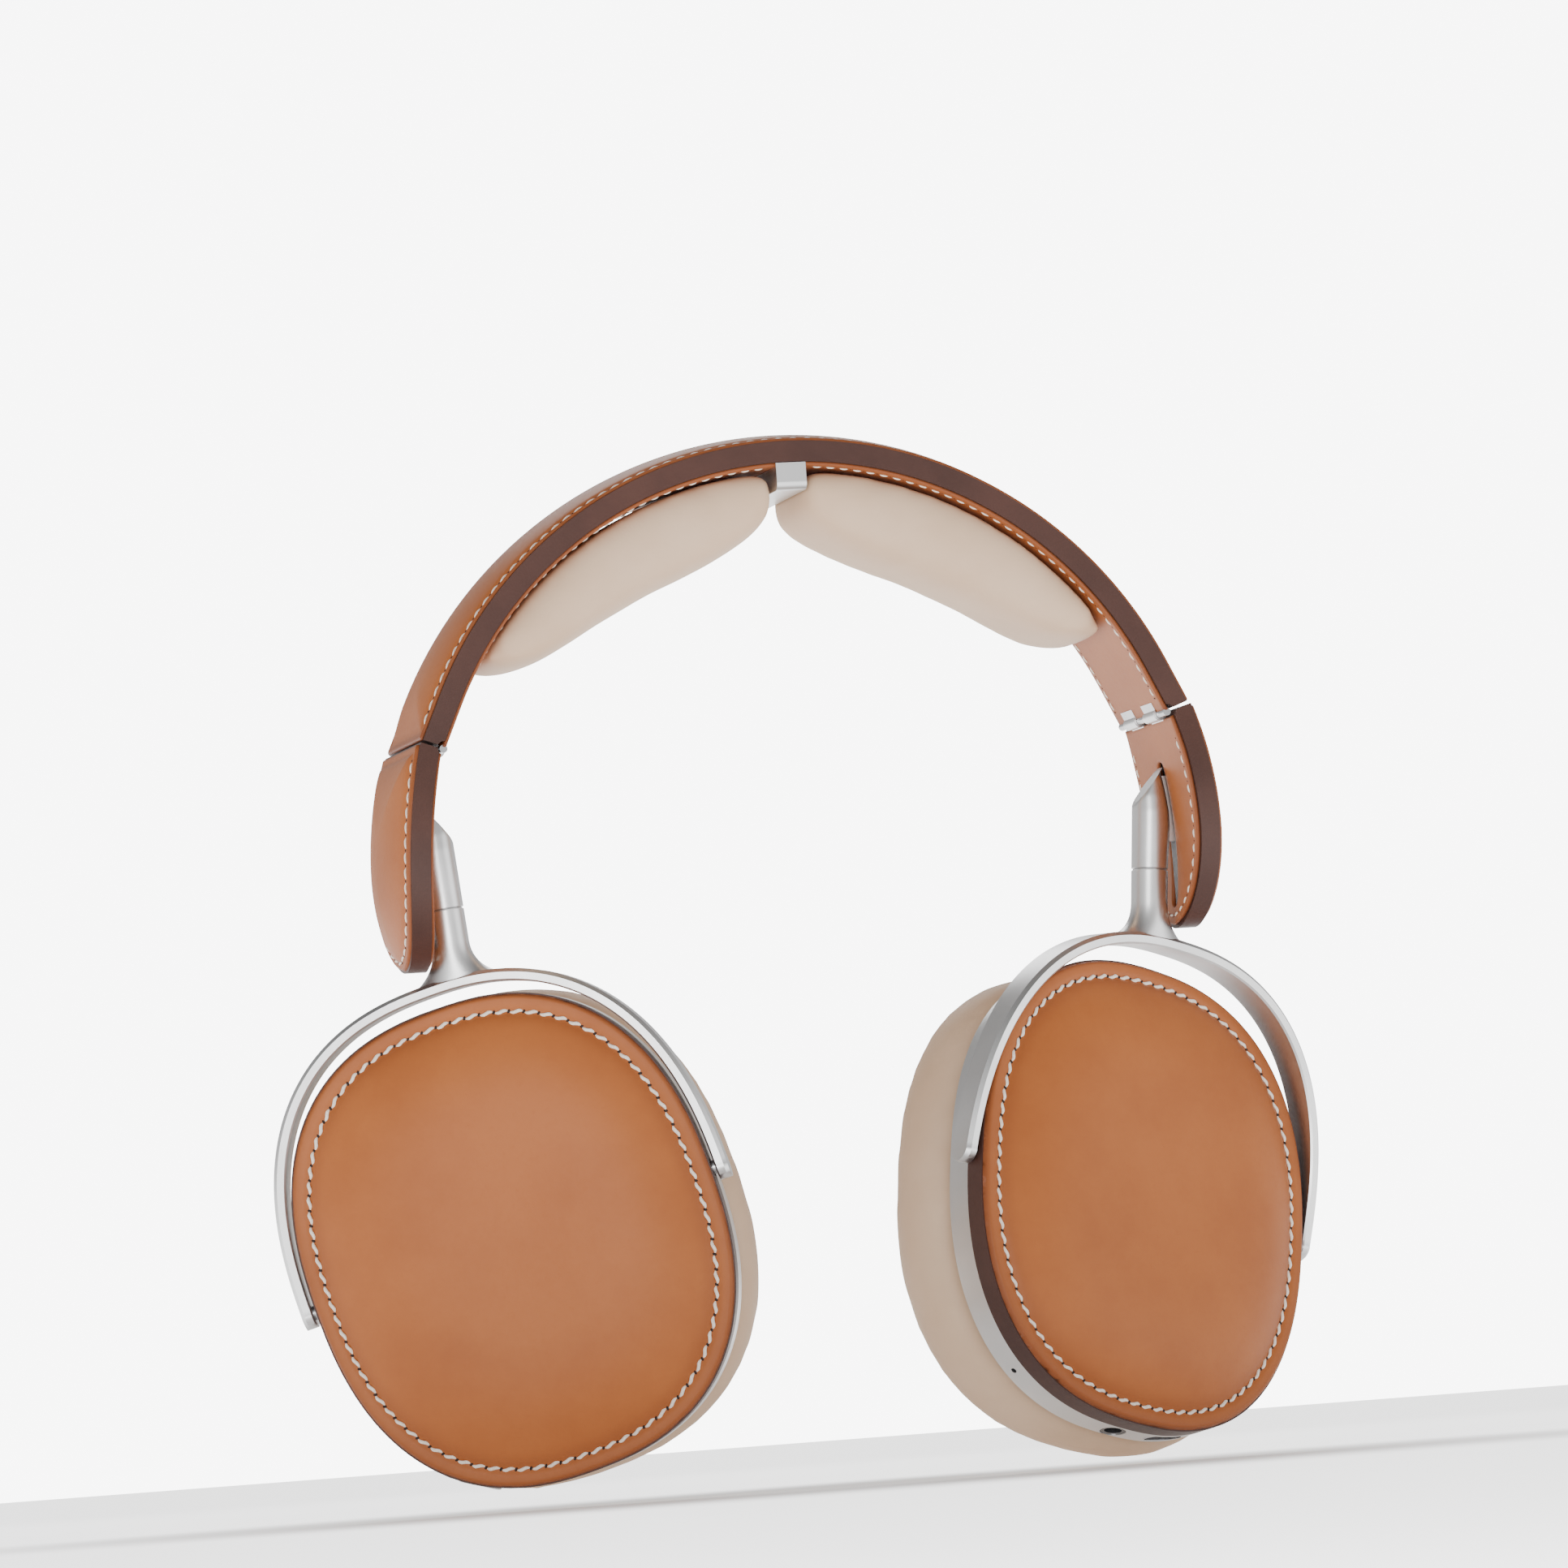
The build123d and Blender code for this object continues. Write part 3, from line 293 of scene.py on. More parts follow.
def thread_material():
    """Waxed linen thread: cream, with a twist along it."""
    light, dark = (0.94, 0.87, 0.77), (0.74, 0.64, 0.52)
    material, tree, shader = new_material("thread", light, 0.5, Sheen_Weight=0.2)
    twist = texture(tree, "ShaderNodeTexNoise", 3500, Detail=3.0, Roughness=0.6)
    colour = mix_colour(tree, ramp(tree, twist.outputs["Fac"], ((0.35, 0.0), (0.7, 1.0))), light, dark)
    tree.links.new(colour, shader.inputs["Base Color"])
    bump(tree, shader, ((twist.outputs["Fac"], 0.5, 0.05),))
    return material


TAN = leather(
    "tan_leather",
    base=(0.41, 0.124, 0.031),
    deep=(0.355, 0.101, 0.024),
    grain=2400,
    pore_depth=0.016,
    roughness=(0.42, 0.54),
    coat=0.03,
    # Darker tan for burnished cut edges, also painted as shade just inside the cups' stitch lines and used
    # for the band skin's darkening towards its joint faces.
    burnish_and_shade=(0.17, 0.045, 0.016),
)
CREAM = leather(
    "cream_leather",
    base=(0.68, 0.485, 0.335),
    deep=(0.62, 0.43, 0.285),
    grain=1500,
    pore_depth=0.030,
    roughness=(0.48, 0.62),
    coat=0.03,
    # Darker cream used only as painted shade: on the crown pads where they meet the lining and along the
    # ear cushions' sunk seam.
    burnish_and_shade=(0.46, 0.32, 0.21),
)
DARK = leather(
    "dark_leather",
    base=(0.070, 0.028, 0.020),
    deep=(0.048, 0.019, 0.014),
    grain=1800,
    pore_depth=0.02,
    roughness=(0.36, 0.50),
    coat=0.10,
)
THREAD = thread_material()
ALUMINIUM = metal("satin_aluminium", (0.70, 0.70, 0.70), (0.30, 0.38), 5200, 0.012)
STEEL = metal("steel", (0.52, 0.52, 0.53), (0.22, 0.30), 3000, 0.006)
# Near-black painted shadow for the awl holes, laid over the leather as small dark slits.
HOLE_SHADOW = plastic("hole_shadow", (0.02, 0.010, 0.008), (0.7, 0.9))
SLOT_MATERIALS = {
    "tan_leather": TAN,
    "cream_leather": CREAM,
    "dark_leather": DARK,
    "satin_aluminium": ALUMINIUM,
    "steel": STEEL,
    "mesh_cloth": woven("mesh_cloth", (0.06, 0.058, 0.055), (0.008, 0.008, 0.008), 0.6),
    "black_plastic": plastic("black_plastic", (0.022, 0.022, 0.024), (0.45, 0.6)),
    "board": plastic("board", (0.015, 0.10, 0.045), (0.30, 0.45), 1400),
    "battery_wrap": plastic("battery_wrap", (0.25, 0.30, 0.35), (0.25, 0.40), 800, 0.04),
    "membrane": plastic("membrane", (0.10, 0.10, 0.11), (0.18, 0.28)),
    "jack_plastic": plastic("jack_plastic", (0.03, 0.03, 0.032), (0.2, 0.3)),
}


# ---------------------------------------------------------------- mesh helpers

def add_piece(name, points, faces, material, body, burnish_and_shade=None):
    """A smooth mesh piece from points in millimetres, riding on a body."""
    mesh = bpy.data.meshes.new(name)
    mesh.from_pydata([tuple(float(c) * MM for c in p) for p in points], [], faces)
    # Per-point darkening of the leather: burnished cut edges and painted shade, as each piece gives it.
    if burnish_and_shade is not None:
        attribute = mesh.attributes.new("burnish_and_shade", "FLOAT", "POINT")
        attribute.data.foreach_set("value", np.asarray(burnish_and_shade, np.float32))
    mesh.polygons.foreach_set("use_smooth", [True] * len(mesh.polygons))
    mesh.update()
    piece = bpy.data.objects.new(name, mesh)
    bpy.context.scene.collection.objects.link(piece)
    mesh.materials.append(material)
    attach(piece, body)
    return piece


def grid_faces(rows, columns, wrap_rows=False):
    """Quads between rings of equal length, stored one after the other."""
    faces = []
    for i in range(rows if wrap_rows else rows - 1):
        for j in range(columns):
            i2, j2 = (i + 1) % rows, (j + 1) % columns
            faces.append((i * columns + j, i * columns + j2, i2 * columns + j2, i2 * columns + j))
    return faces


def tube_faces(rows, columns):
    """Faces of a tube of rings, closed at both ends."""
    last = (rows - 1) * columns
    return grid_faces(rows, columns) + [tuple(range(columns))[::-1], tuple(range(last, last + columns))]


def lid_faces(rows, columns):
    """Faces of rings that close on one last middle point, with a flat back."""
    last, middle = (rows - 1) * columns, rows * columns
    fan = [(last + k, last + (k + 1) % columns, middle) for k in range(columns)]
    return grid_faces(rows, columns) + [tuple(range(columns))[::-1]] + fan


def box_faces(base):
    """Faces of a box from its eight corners, the first of them at this index."""
    corners = ((0, 1, 2, 3), (7, 6, 5, 4), (0, 4, 5, 1), (1, 5, 6, 2), (2, 6, 7, 3), (3, 7, 4, 0))
    return [tuple(base + k for k in face) for face in corners]


def sharpen(piece):
    """Keeps edges crisp where two faces meet at more than 32 degrees."""
    piece.data.set_sharp_from_angle(angle=math.radians(32))


def face_out(piece):
    """Points all normals out of a closed piece."""
    bpy.context.view_layer.objects.active = piece
    bpy.ops.object.select_all(action="DESELECT")
    piece.select_set(True)
    bpy.ops.object.mode_set(mode="EDIT")
    bpy.ops.mesh.select_all(action="SELECT")
    bpy.ops.mesh.normals_make_consistent(inside=False)
    bpy.ops.object.mode_set(mode="OBJECT")


def unit(v):
    return v / np.linalg.norm(v, axis=-1, keepdims=True)


def full_turn(count):
    """Evenly spaced angles round a circle."""
    return 2 * math.pi * np.arange(count) / count


def smooth_step(t):
    t = np.clip(t, 0, 1)
    return t * t * (3 - 2 * t)


def lengths_along(line):
    """Distance along a polyline to each of its points."""
    return np.concatenate([[0], np.cumsum(np.linalg.norm(np.diff(line, axis=0), axis=1))])


def points_at(line, along, places):
    """Points of a polyline at these distances along it."""
    return np.stack([np.interp(places, along, column) for column in line.T], 1)


def resample(points, pitch, closed):
    """Points a whole number of pitches apart along a polyline, with their directions."""
    line = np.asarray(points, float)
    if closed:
        line = np.vstack([line, line[:1]])
    along = lengths_along(line)
    count = max(2, round(along[-1] / pitch))
    places = (np.arange(count) + 0.5) * along[-1] / count
    ahead = points_at(line, along, np.minimum(places + 0.3, along[-1]))
    behind = points_at(line, along, np.maximum(places - 0.3, 0))
    return points_at(line, along, places), unit(ahead - behind), along[-1] / count


# ---------------------------------------------------------------- stitching

STITCH_PITCH = 3.0
# Length, thread radius, slant in degrees, rise of the middle and size of the dark slits painted as the awl
# holes' shadow.
SKIN_STITCH = (2.2, 0.24, 3, 0.16, 0.30)
LINING_STITCH = (1.8, 0.24, 0, 0.14, 0.25)
CUP_STITCH = (2.6, 0.33, 9, 0.26, 0.42)
STITCH_RINGS = 9
STITCH_SIDES = 8


def stitch_line(name, points, normals_at, body, kind, closed=False, pitch=STITCH_PITCH):
    """A run of saddle stitches along a line, and dark slits painted as the shadow in the awl holes between
    them, as two pieces.
    """
    length, radius, slant, rise, hole_size = kind
    slant = math.radians(slant)
    places, ahead, step = resample(points, pitch, closed)
    up = unit(normals_at(places))
    ahead = unit(ahead - up * np.sum(ahead * up, axis=1, keepdims=True))
    across = np.cross(up, ahead)
    thread_points, thread_faces, hole_points, hole_faces = [], [], [], []
    ts = np.linspace(-1, 1, STITCH_RINGS)
    turns = full_turn(STITCH_SIDES)
    stitch_faces = tube_faces(STITCH_RINGS, STITCH_SIDES)
    for centre, u, a, c in zip(places, up, ahead, across):
        slanted = a * math.cos(slant) + c * math.sin(slant)
        sideways = np.cross(u, slanted)
        base = len(thread_points)
        for t in ts:
            thick = radius * max(0.25, (1 - abs(t) ** 3.2)) ** 0.5
            bend = sideways * 0.35 * radius * math.sin(math.pi * t)
            middle = centre + slanted * t * length / 2 + bend + u * (rise * (1 - t * t) - 0.4 * radius)
            wide, tall = sideways * 1.12, u * 0.85
            for turn in turns:
                thread_points.append(middle + thick * (wide * math.cos(turn) + tall * math.sin(turn)))
        thread_faces += [tuple(base + k for k in face) for face in stitch_faces]
        # Each awl hole is drawn as a small dark slit of painted shadow.
        hole = centre + a * step / 2
        slit = (a * 0.48 + c) * hole_size
        width = (a * 0.55 - c * 0.26) * hole_size
        base = len(hole_points)
        hole_points += [hole + u * 0.03 + slit * math.cos(turn) + width * math.sin(turn) for turn in turns]
        hole_points += [hole + u * 0.08, hole - u * 0.5]
        for k in range(STITCH_SIDES):
            k2 = (k + 1) % STITCH_SIDES
            hole_faces.append((base + k, base + k2, base + STITCH_SIDES))
            hole_faces.append((base + k2, base + k, base + STITCH_SIDES + 1))
    add_piece(f"{name}_stitches", thread_points, thread_faces, THREAD, body)
    add_piece(f"{name}_hole_shadows", hole_points, hole_faces, HOLE_SHADOW, body)


# ---------------------------------------------------------------- skins

BAND_STITCH_INSET = 1.7
LINING_STITCH_INSET = 2.0
STITCH_GROOVE = 0.3
SKIN_GAP = 0.02             # keeps a skin's face just clear of what it covers
SKIN_SINK = 0.05            # how far a skin's hidden back lies inside the core
THREAD_SEAT = 0.05          # how far a seam's line stands over the groove


def skin_height(distance, dome, half_width):
    """Height of a padded skin at a distance from its edge: a rolled edge, the stitch groove, the dome."""
    rolled = SKIN_EDGE * np.sqrt(np.clip(1 - np.clip(1 - distance / SKIN_EDGE, 0, 1) ** 2, 0, 1))
    sunk = STITCH_GROOVE * np.exp(-((distance - BAND_STITCH_INSET) / 0.75) ** 2)
    rise = dome * (1 - (1 - np.clip((distance - 0.6 * BAND_STITCH_INSET) / half_width, 0, 1)) ** 2.4)
    return rolled - sunk + rise


def band_outer(side, u):
    """Point and normal of the core's outer line, u millimetres from the top along arc and straight end."""
    arc = BAND_RADIUS * BAND_HALF_ANGLE
    angle = min(u, arc) / BAND_RADIUS
    run = max(0.0, u - arc)
    x = BAND_RADIUS * math.sin(angle) + run * math.cos(BAND_HALF_ANGLE)
    z = BAND_CENTRE_Z + BAND_RADIUS * math.cos(angle) - run * math.sin(BAND_HALF_ANGLE)
    normal = np.array((side * math.sin(angle), 0, math.cos(angle)))
    return np.array((side * x, 0, z)), normal


def band_end():
    """Millimetres from the top to where the joint face cuts the core's outer line."""
    tilt = np.array((-math.sin(HINGE_TILT), 0, math.cos(HINGE_TILT)))
    hinge = np.array((HINGE[0], 0, HINGE[1])) + tilt * HINGE_GAP
    return next(u for u in np.arange(90, 115, 0.02) if (band_outer(1, u)[0] - hinge) @ tilt < 0)


BAND_LENGTH = band_end()


def band_point(place, y, depth):
    """Point this deep under the core's outer line; place counts from the top, negative on the right."""
    base, normal = band_outer(math.copysign(1, place), abs(place))
    return base - normal * depth + np.array((0, y, 0))


def band_cover():
    """The domed outer skin of the headband, with its rolled edges and sunk stitch lines."""
    stations = np.concatenate([np.arange(-BAND_LENGTH, BAND_LENGTH, 1.0), [BAND_LENGTH]])
    ends = np.array([0.15, 0.4, 0.7])
    stations = np.unique(np.concatenate([stations, ends - BAND_LENGTH, BAND_LENGTH - ends]))
    insets = np.concatenate([np.arange(0, 3.0, 0.25), np.arange(3.0, BAND_HALF_WIDTH, 1.0)])
    across = np.concatenate([-BAND_HALF_WIDTH + insets, [0], (BAND_HALF_WIDTH - insets)[::-1]])
    points, burnish_and_shade = [], []
    for s in stations:
        end = BAND_LENGTH - abs(s)
        for y in across:
            distance = min(BAND_HALF_WIDTH - abs(y), end + 0.02)
            dome = BAND_DOME * smooth_step(end / 9) ** 0.5
            height = skin_height(distance, dome, BAND_HALF_WIDTH)
            points.append(band_point(s, y, -height - SKIN_GAP))
            # Burnished edges, and the skin darker over its last few millimetres towards the joint face.
            burnish_and_shade.append(0.7 * math.exp(-distance / 0.8) + 0.25 * math.exp(-end / 4))
        for y in across[::-4]:
            points.append(band_point(s, y, SKIN_SINK))
            burnish_and_shade.append(0.6)
    faces = tube_faces(len(stations), len(across) + len(across[::-4]))
    skin = add_piece("band_outer_skin", points, faces, TAN, "headband", burnish_and_shade)
    face_out(skin)
    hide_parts("headband_cover")
    seam = BAND_HALF_WIDTH - BAND_STITCH_INSET
    height = skin_height(BAND_STITCH_INSET, BAND_DOME, BAND_HALF_WIDTH)
    run = np.arange(3.0 - BAND_LENGTH, BAND_LENGTH - 2.9, 0.5)
    for edge, y in (("front", -seam), ("back", seam)):
        line = [band_point(s, y, -height - THREAD_SEAT) for s in run]
        stitch_line(f"band_{edge}", line, band_normals(1), "headband", SKIN_STITCH)


def band_normals(sign):
    """Function giving the band's outward (or inward) direction at points near it."""
    def normals(points):
        flat = points - np.array((0, 0, BAND_CENTRE_Z))
        flat[:, 1] = 0
        limit = math.sin(BAND_HALF_ANGLE)
        direction = unit(flat)
        direction[:, 0] = np.clip(direction[:, 0], -limit, limit)
        return sign * unit(direction)
    return normals


def band_lining():
    """The leather under the headband, reaching both joint faces."""
    depth = LINING_DEPTH
    half = BAND_HALF_WIDTH - 0.1
    section = [(half, depth - 0.75), (half, depth - 0.35), (half - 0.12, depth - 0.1), (half - 0.4, depth)]
    section += [(y, depth) for y in np.linspace(half - 1.4, 1.4 - half, 13)]
    section += [(-y, d) for y, d in section[3::-1]]
    end = BAND_LENGTH - JOINT_LEAN * depth
    stations = np.concatenate([np.arange(-end, end, 1.2), [end]])
    stations = np.unique(np.concatenate([stations, [0.3 - end, end - 0.3]]))
    points, burnish_and_shade = [], []
    for place in stations:
        near = end - abs(place)
        for y, d in section:
            points.append(band_point(place, y, d - 0.25 * (near < 0.1)))
            burnish_and_shade.append(0.7 * math.exp(-(half - abs(y)) / 0.7) + 0.7 * math.exp(-near / 0.6))
    faces = tube_faces(len(stations), len(section))
    skin = add_piece("band_inner_skin", points, faces, TAN, "headband", burnish_and_shade)
    face_out(skin)
    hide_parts("headband_lining")


def lining_stitches():
    """Stitches along both edges of the lining, under the band."""
    seam = BAND_HALF_WIDTH - LINING_STITCH_INSET
    pitch = STITCH_PITCH * LINING_RADIUS / BAND_RADIUS
    inwards = band_normals(-1)
    for edge, y in (("front", -seam), ("back", seam)):
        for name, side in SIDES.items():
            line = [band_point(side * s, y, LINING_DEPTH) for s in np.arange(5.0, BAND_LENGTH - 3.0, 0.5)]
            stitch_line(f"{name}_lining_{edge}", line, inwards, "headband", LINING_STITCH, pitch=pitch)


# ---------------------------------------------------------------- end tabs

def tab_loop(inset=0.0):
    """The tongue outline seen from the side, clockwise from the top front corner, as (y, z) points."""
    half = np.array([*TAB_OUTLINE, (0, TAB_TIP_Z)])
    along = lengths_along(half)
    smooth = points_at(half, along, np.linspace(0, along[-1], int(along[-1]) + 1))
    for _ in range(10):
        smooth[1:-1] = (smooth[:-2] + 2 * smooth[1:-1] + smooth[2:]) / 4
    other = smooth[::-1][1:] * (-1, 1)
    top = np.linspace(other[-1], smooth[0], 33)[1:-1]
    loop = np.vstack([smooth, other, top])
    if inset:
        ahead = unit(np.roll(loop, -1, axis=0) - np.roll(loop, 1, axis=0))
        loop = loop + np.stack([ahead[:, 1], -ahead[:, 0]], 1) * inset
    return loop


def tab_point(side, y, z, height):
    """Point this high over a tab's core, following the joint face near the hinge."""
    near_hinge = smooth_step((z + 60) / 12)
    z = z + math.tan(HINGE_TILT) * height * near_hinge
    reach = math.sqrt((TAB_RADIUS + height) ** 2 - (z - TAB_CENTRE[1]) ** 2)
    return np.array((side * (TAB_CENTRE[0] + reach), y, z))


def tab_normals(side, sign):
    """Function giving a tab's outward (or inward) direction at points near it."""
    def normals(points):
        flat = points - np.array((side * TAB_CENTRE[0], 0, TAB_CENTRE[1]))
        flat[:, 1] = 0
        return sign * unit(flat)
    return normals


def outline_distance(point, loop):
    """Distance from a point to a closed polyline."""
    start, end = loop, np.roll(loop, -1, axis=0)
    run = end - start
    t = np.clip(np.sum((point - start) * run, axis=1) / np.sum(run * run, axis=1), 0, 1)
    return float(np.min(np.linalg.norm(start + run * t[:, None] - point, axis=1)))


def tab_seam(inset, short):
    """Stitch line round a tab from front to back, ending this far short of the joint face."""
    seam = [p for p in tab_loop(inset) if p[1] < TAB_OUTLINE[0][1] - short]
    return [p for p in seam if p[0] >= 0] + [p for p in seam if p[0] < 0]


def tab_cover(name, side):
    """The pillow-like outer skin of an end tab, and its stitches."""
    loop = tab_loop()
    half = max(TAB_OUTLINE)[0]
    near_edge = [0, 0.012, 0.025, 0.045, 0.07, 0.095, 0.12, 0.15, 0.18, 0.21]
    shares = np.concatenate([near_edge, np.arange(0.25, 0.96, 0.06)])
    points = [tab_point(side, y, z, -SKIN_SINK) for y, z in loop]
    burnish_and_shade = [0.6] * len(loop)
    for share in shares:
        for place in loop + (TAB_MIDDLE - loop) * share:
            distance = outline_distance(place, loop)
            height = skin_height(distance, TAB_DOME, half)
            points.append(tab_point(side, *place, height + SKIN_GAP))
            burnish_and_shade.append(0.7 * math.exp(-distance / 0.8))
    top = skin_height(outline_distance(TAB_MIDDLE, loop), TAB_DOME, half)
    points.append(tab_point(side, *TAB_MIDDLE, top + SKIN_GAP))
    burnish_and_shade.append(0)
    faces = lid_faces(len(shares) + 1, len(loop))
    skin = add_piece(f"{name}_tab_outer_skin", points, faces, TAN, f"{name}_tab", burnish_and_shade)
    face_out(skin)
    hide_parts(f"{name}_tab_cover")
    height = skin_height(BAND_STITCH_INSET, TAB_DOME, half) + THREAD_SEAT
    line = [tab_point(side, y, z, height) for y, z in tab_seam(BAND_STITCH_INSET, 2.6)]
    stitch_line(f"{name}_tab_outer", line, tab_normals(side, 1), f"{name}_tab", SKIN_STITCH)


def tab_lining(name, side):
    """The leather on a tab's inner face, cut out round the slide rail, and its stitches."""
    loop = tab_loop(0.3)
    low, high, half = RAIL_SLOT
    spine = np.stack([np.zeros(len(loop)), np.clip(loop[:, 1], low + half, high - half)], 1)
    slot = spine + unit(loop - spine) * half
    face = TAB_LINING_RADIUS - TAB_RADIUS
    rows = [(0.0, face + 0.75), (0.0, face + 0.3), (0.012, face + 0.08), (0.035, face)]
    rows += [(share, face) for share in np.linspace(0.1, 0.9, 9)]
    rows += [(0.96, face), (0.985, face + 0.08), (1.0, face + 0.3), (1.0, face + 0.75)]
    points, burnish_and_shade = [], []
    for share, height in rows:
        for y, z in loop + (slot - loop) * share:
            points.append(tab_point(side, y, z, height))
            burnish_and_shade.append(0.75 * max(math.exp(-share / 0.03), math.exp((share - 1) / 0.04)))
    faces = grid_faces(len(rows), len(loop), wrap_rows=True)
    skin = add_piece(f"{name}_tab_inner_skin", points, faces, TAN, f"{name}_tab", burnish_and_shade)
    face_out(skin)
    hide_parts(f"{name}_tab_lining")
    line = [tab_point(side, y, z, face) for y, z in tab_seam(BAND_STITCH_INSET + 0.4, 4.5)]
    stitch_line(f"{name}_tab_inner", line, tab_normals(side, -1), f"{name}_tab", LINING_STITCH)


# ---------------------------------------------------------------- cups

def cup_frame(name, tilt=None):
    """The cup's own axes: origin on the tilt axis, x up the cup, y along the axis, z out of its face."""
    side = SIDES[name]
    tilt = CUP_TILT[name] if tilt is None else tilt
    up = np.array((side * math.sin(STEM_LEAN), 0, math.cos(STEM_LEAN)))
    outwards = np.array((side * math.cos(STEM_LEAN), 0, -math.sin(STEM_LEAN)))
    front = np.array((0, -1, 0))
    normal = outwards * math.cos(SWIVEL) + front * math.sin(SWIVEL)
    forward = front * math.cos(SWIVEL) - outwards * math.sin(SWIVEL)
    origin = np.array((side * STEM[0], 0, STEM[1])) - up * PIVOT_DROP + forward * PIVOT_FORWARD
    cup_up = up * math.cos(YOKE_CANT) - forward * math.sin(YOKE_CANT)
    face = normal * math.cos(tilt) + cup_up * math.sin(tilt)
    x = cup_up * math.cos(tilt) - normal * math.sin(tilt)
    return origin, np.array((x, np.cross(face, x), face))


def placed(name, local):
    """Points in a cup's own axes as points of the whole object."""
    origin, axes = cup_frame(name)
    return origin + np.asarray(local, float) @ axes


def oval_loop(up, across, count):
    """The cup's squarish oval as evenly spaced points in its own axes."""
    a = full_turn(2000)
    power = 2 / OVAL_POWER
    x = up * np.sign(np.cos(a)) * np.abs(np.cos(a)) ** power
    y = across * np.sign(np.sin(a)) * np.abs(np.sin(a)) ** power
    line = np.stack([x, y, np.zeros_like(x)], 1)
    line = np.vstack([line, line[:1]])
    along = lengths_along(line)
    return points_at(line, along, (np.arange(count) + 0.5) * along[-1] / count)


def oval_size(points, up, across):
    """1 for points in the cup's axes that lie on this oval, less inside it and more outside it."""
    return (np.abs(points[:, 0]) / up) ** OVAL_POWER + (np.abs(points[:, 1]) / across) ** OVAL_POWER


COVER_STITCH_INSET = 3.4
COVER_GROOVE = 0.34
COVER_COLUMNS = 288


def cover_height(inset):
    """Height of the cup's leather at an inset from its edge: rolled edge, stitch groove, broad dome."""
    rolled = COVER_EDGE * np.sqrt(np.clip(1 - np.clip(1 - inset / 0.9, 0, 1) ** 2, 0, 1))
    sunk = COVER_GROOVE * np.exp(-((inset - COVER_STITCH_INSET) / 0.8) ** 2)
    t = np.clip((inset - COVER_STITCH_INSET - 0.3) / 30, 0, 1)
    return rolled - sunk + COVER_DOME * (1 - (1 - t) ** 3.4)


def cup_cover(name):
    """The stitched leather cover of a cup."""
    insets = np.concatenate([np.arange(0, 6.6, 0.3), np.arange(7.0, CUP_ACROSS - 1, 1.5)])
    rings = [oval_loop(CUP_UP, CUP_ACROSS, COVER_COLUMNS)]
    burnish_and_shade = [np.full(COVER_COLUMNS, 0.8)]
    stitches = round(2 * math.pi * (CUP_UP + CUP_ACROSS) / 2 * 1.04 / STITCH_PITCH)
    pucker = 0.07 * np.cos(full_turn(COVER_COLUMNS) * stitches)
    for inset in insets:
        ring = oval_loop(CUP_UP - inset, CUP_ACROSS - inset, COVER_COLUMNS)
        from_seam = inset - COVER_STITCH_INSET
        ring[:, 2] = cover_height(inset) + pucker * math.exp(-(from_seam / 1.2) ** 2)
        rings.append(ring)
        # Burnished cut edge, plus a band of painted shade just inside the stitch line where the dome rises
        # out of the groove.
        dark = 0.75 * math.exp(-inset / 0.9) + 0.22 * math.exp(-((from_seam - 1.0) / 1.6) ** 2)
        burnish_and_shade.append(np.full(COVER_COLUMNS, dark))
    local = np.vstack([*rings, [(0, 0, cover_height(CUP_ACROSS))]]) + (0, 0, COVER_BASE)
    faces = lid_faces(len(rings), COVER_COLUMNS)
    shades = np.concatenate([*burnish_and_shade, [0]])
    points = placed(name, local)
    skin = add_piece(f"{name}_cup_skin", points, faces, TAN, f"{name}_cup", shades)
    face_out(skin)
    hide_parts(f"{name}_cup_cover")
    seam = oval_loop(CUP_UP - COVER_STITCH_INSET, CUP_ACROSS - COVER_STITCH_INSET, 1200)
    seam[:, 2] = COVER_BASE + float(cover_height(COVER_STITCH_INSET)) + 0.06
    facing = cup_frame(name)[1][2]

    def normals(points):
        return np.tile(facing, (len(points), 1))

    stitch_line(f"{name}_cup", placed(name, seam), normals, f"{name}_cup", CUP_STITCH, closed=True)


# ---------------------------------------------------------------- metalwork

ARCH_UP = 52.35             # middle of the yoke's ribbon, as an oval
ARCH_ACROSS = 44.15
ARCH_HALF_THICK = 1.25
ARCH_TIP = 2.9
STEM_RADIUS = 3.75
STEM_SINK = 0.5             # how far the stem's foot goes into the arch
FLARE = 6.6


def arch_shell():
    """Ribbon of the yoke in its own axes, with bevelled edges and a rounded tip at each pivot."""
    a = np.linspace(-math.pi / 2, math.pi / 2, 2401)
    power = 2 / OVAL_POWER
    across = ARCH_ACROSS * np.sign(np.sin(a)) * np.abs(np.sin(a)) ** power
    line = np.stack([ARCH_UP * np.cos(a) ** power, across], 1)
    along = lengths_along(line)
    line = points_at(line, along, np.linspace(0, along[-1], 150))
    drops = -ARCH_TIP * np.sin(np.linspace(0.1, math.pi / 2, 9))
    first = np.stack([drops[::-1], np.full(9, line[0, 1])], 1)
    last = np.stack([drops, np.full(9, line[-1, 1])], 1)
    line = np.vstack([first, line, last])
    ahead = unit(np.gradient(line, axis=0))
    outwards = np.stack([-ahead[:, 1], ahead[:, 0]], 1)
    outwards *= np.sign(np.sum(outwards * (line + 1e-6), axis=1, keepdims=True))
    points = []
    for (x, y), (nx, ny) in zip(line, outwards):
        deep = 2.9 + 1.2 * float(smooth_step(x / ARCH_UP))
        if x < 0:
            deep *= math.sqrt(max(0.0, 1 - (x / ARCH_TIP) ** 2)) + 0.03
        bevel = min(0.35, 0.5 * deep)
        broad = min(0.75, 0.6 * deep)
        t = ARCH_HALF_THICK
        for u, v in (
            (-t, bevel - deep),
            (-t, deep - bevel),
            (bevel - t, deep),
            (t - broad, deep),
            (t, deep - broad),
            (t, bevel - deep),
            (t - bevel, -deep),
            (bevel - t, -deep),
        ):
            points.append((x + nx * u, y + ny * u, v))
    return points, tube_faces(len(line), 8)


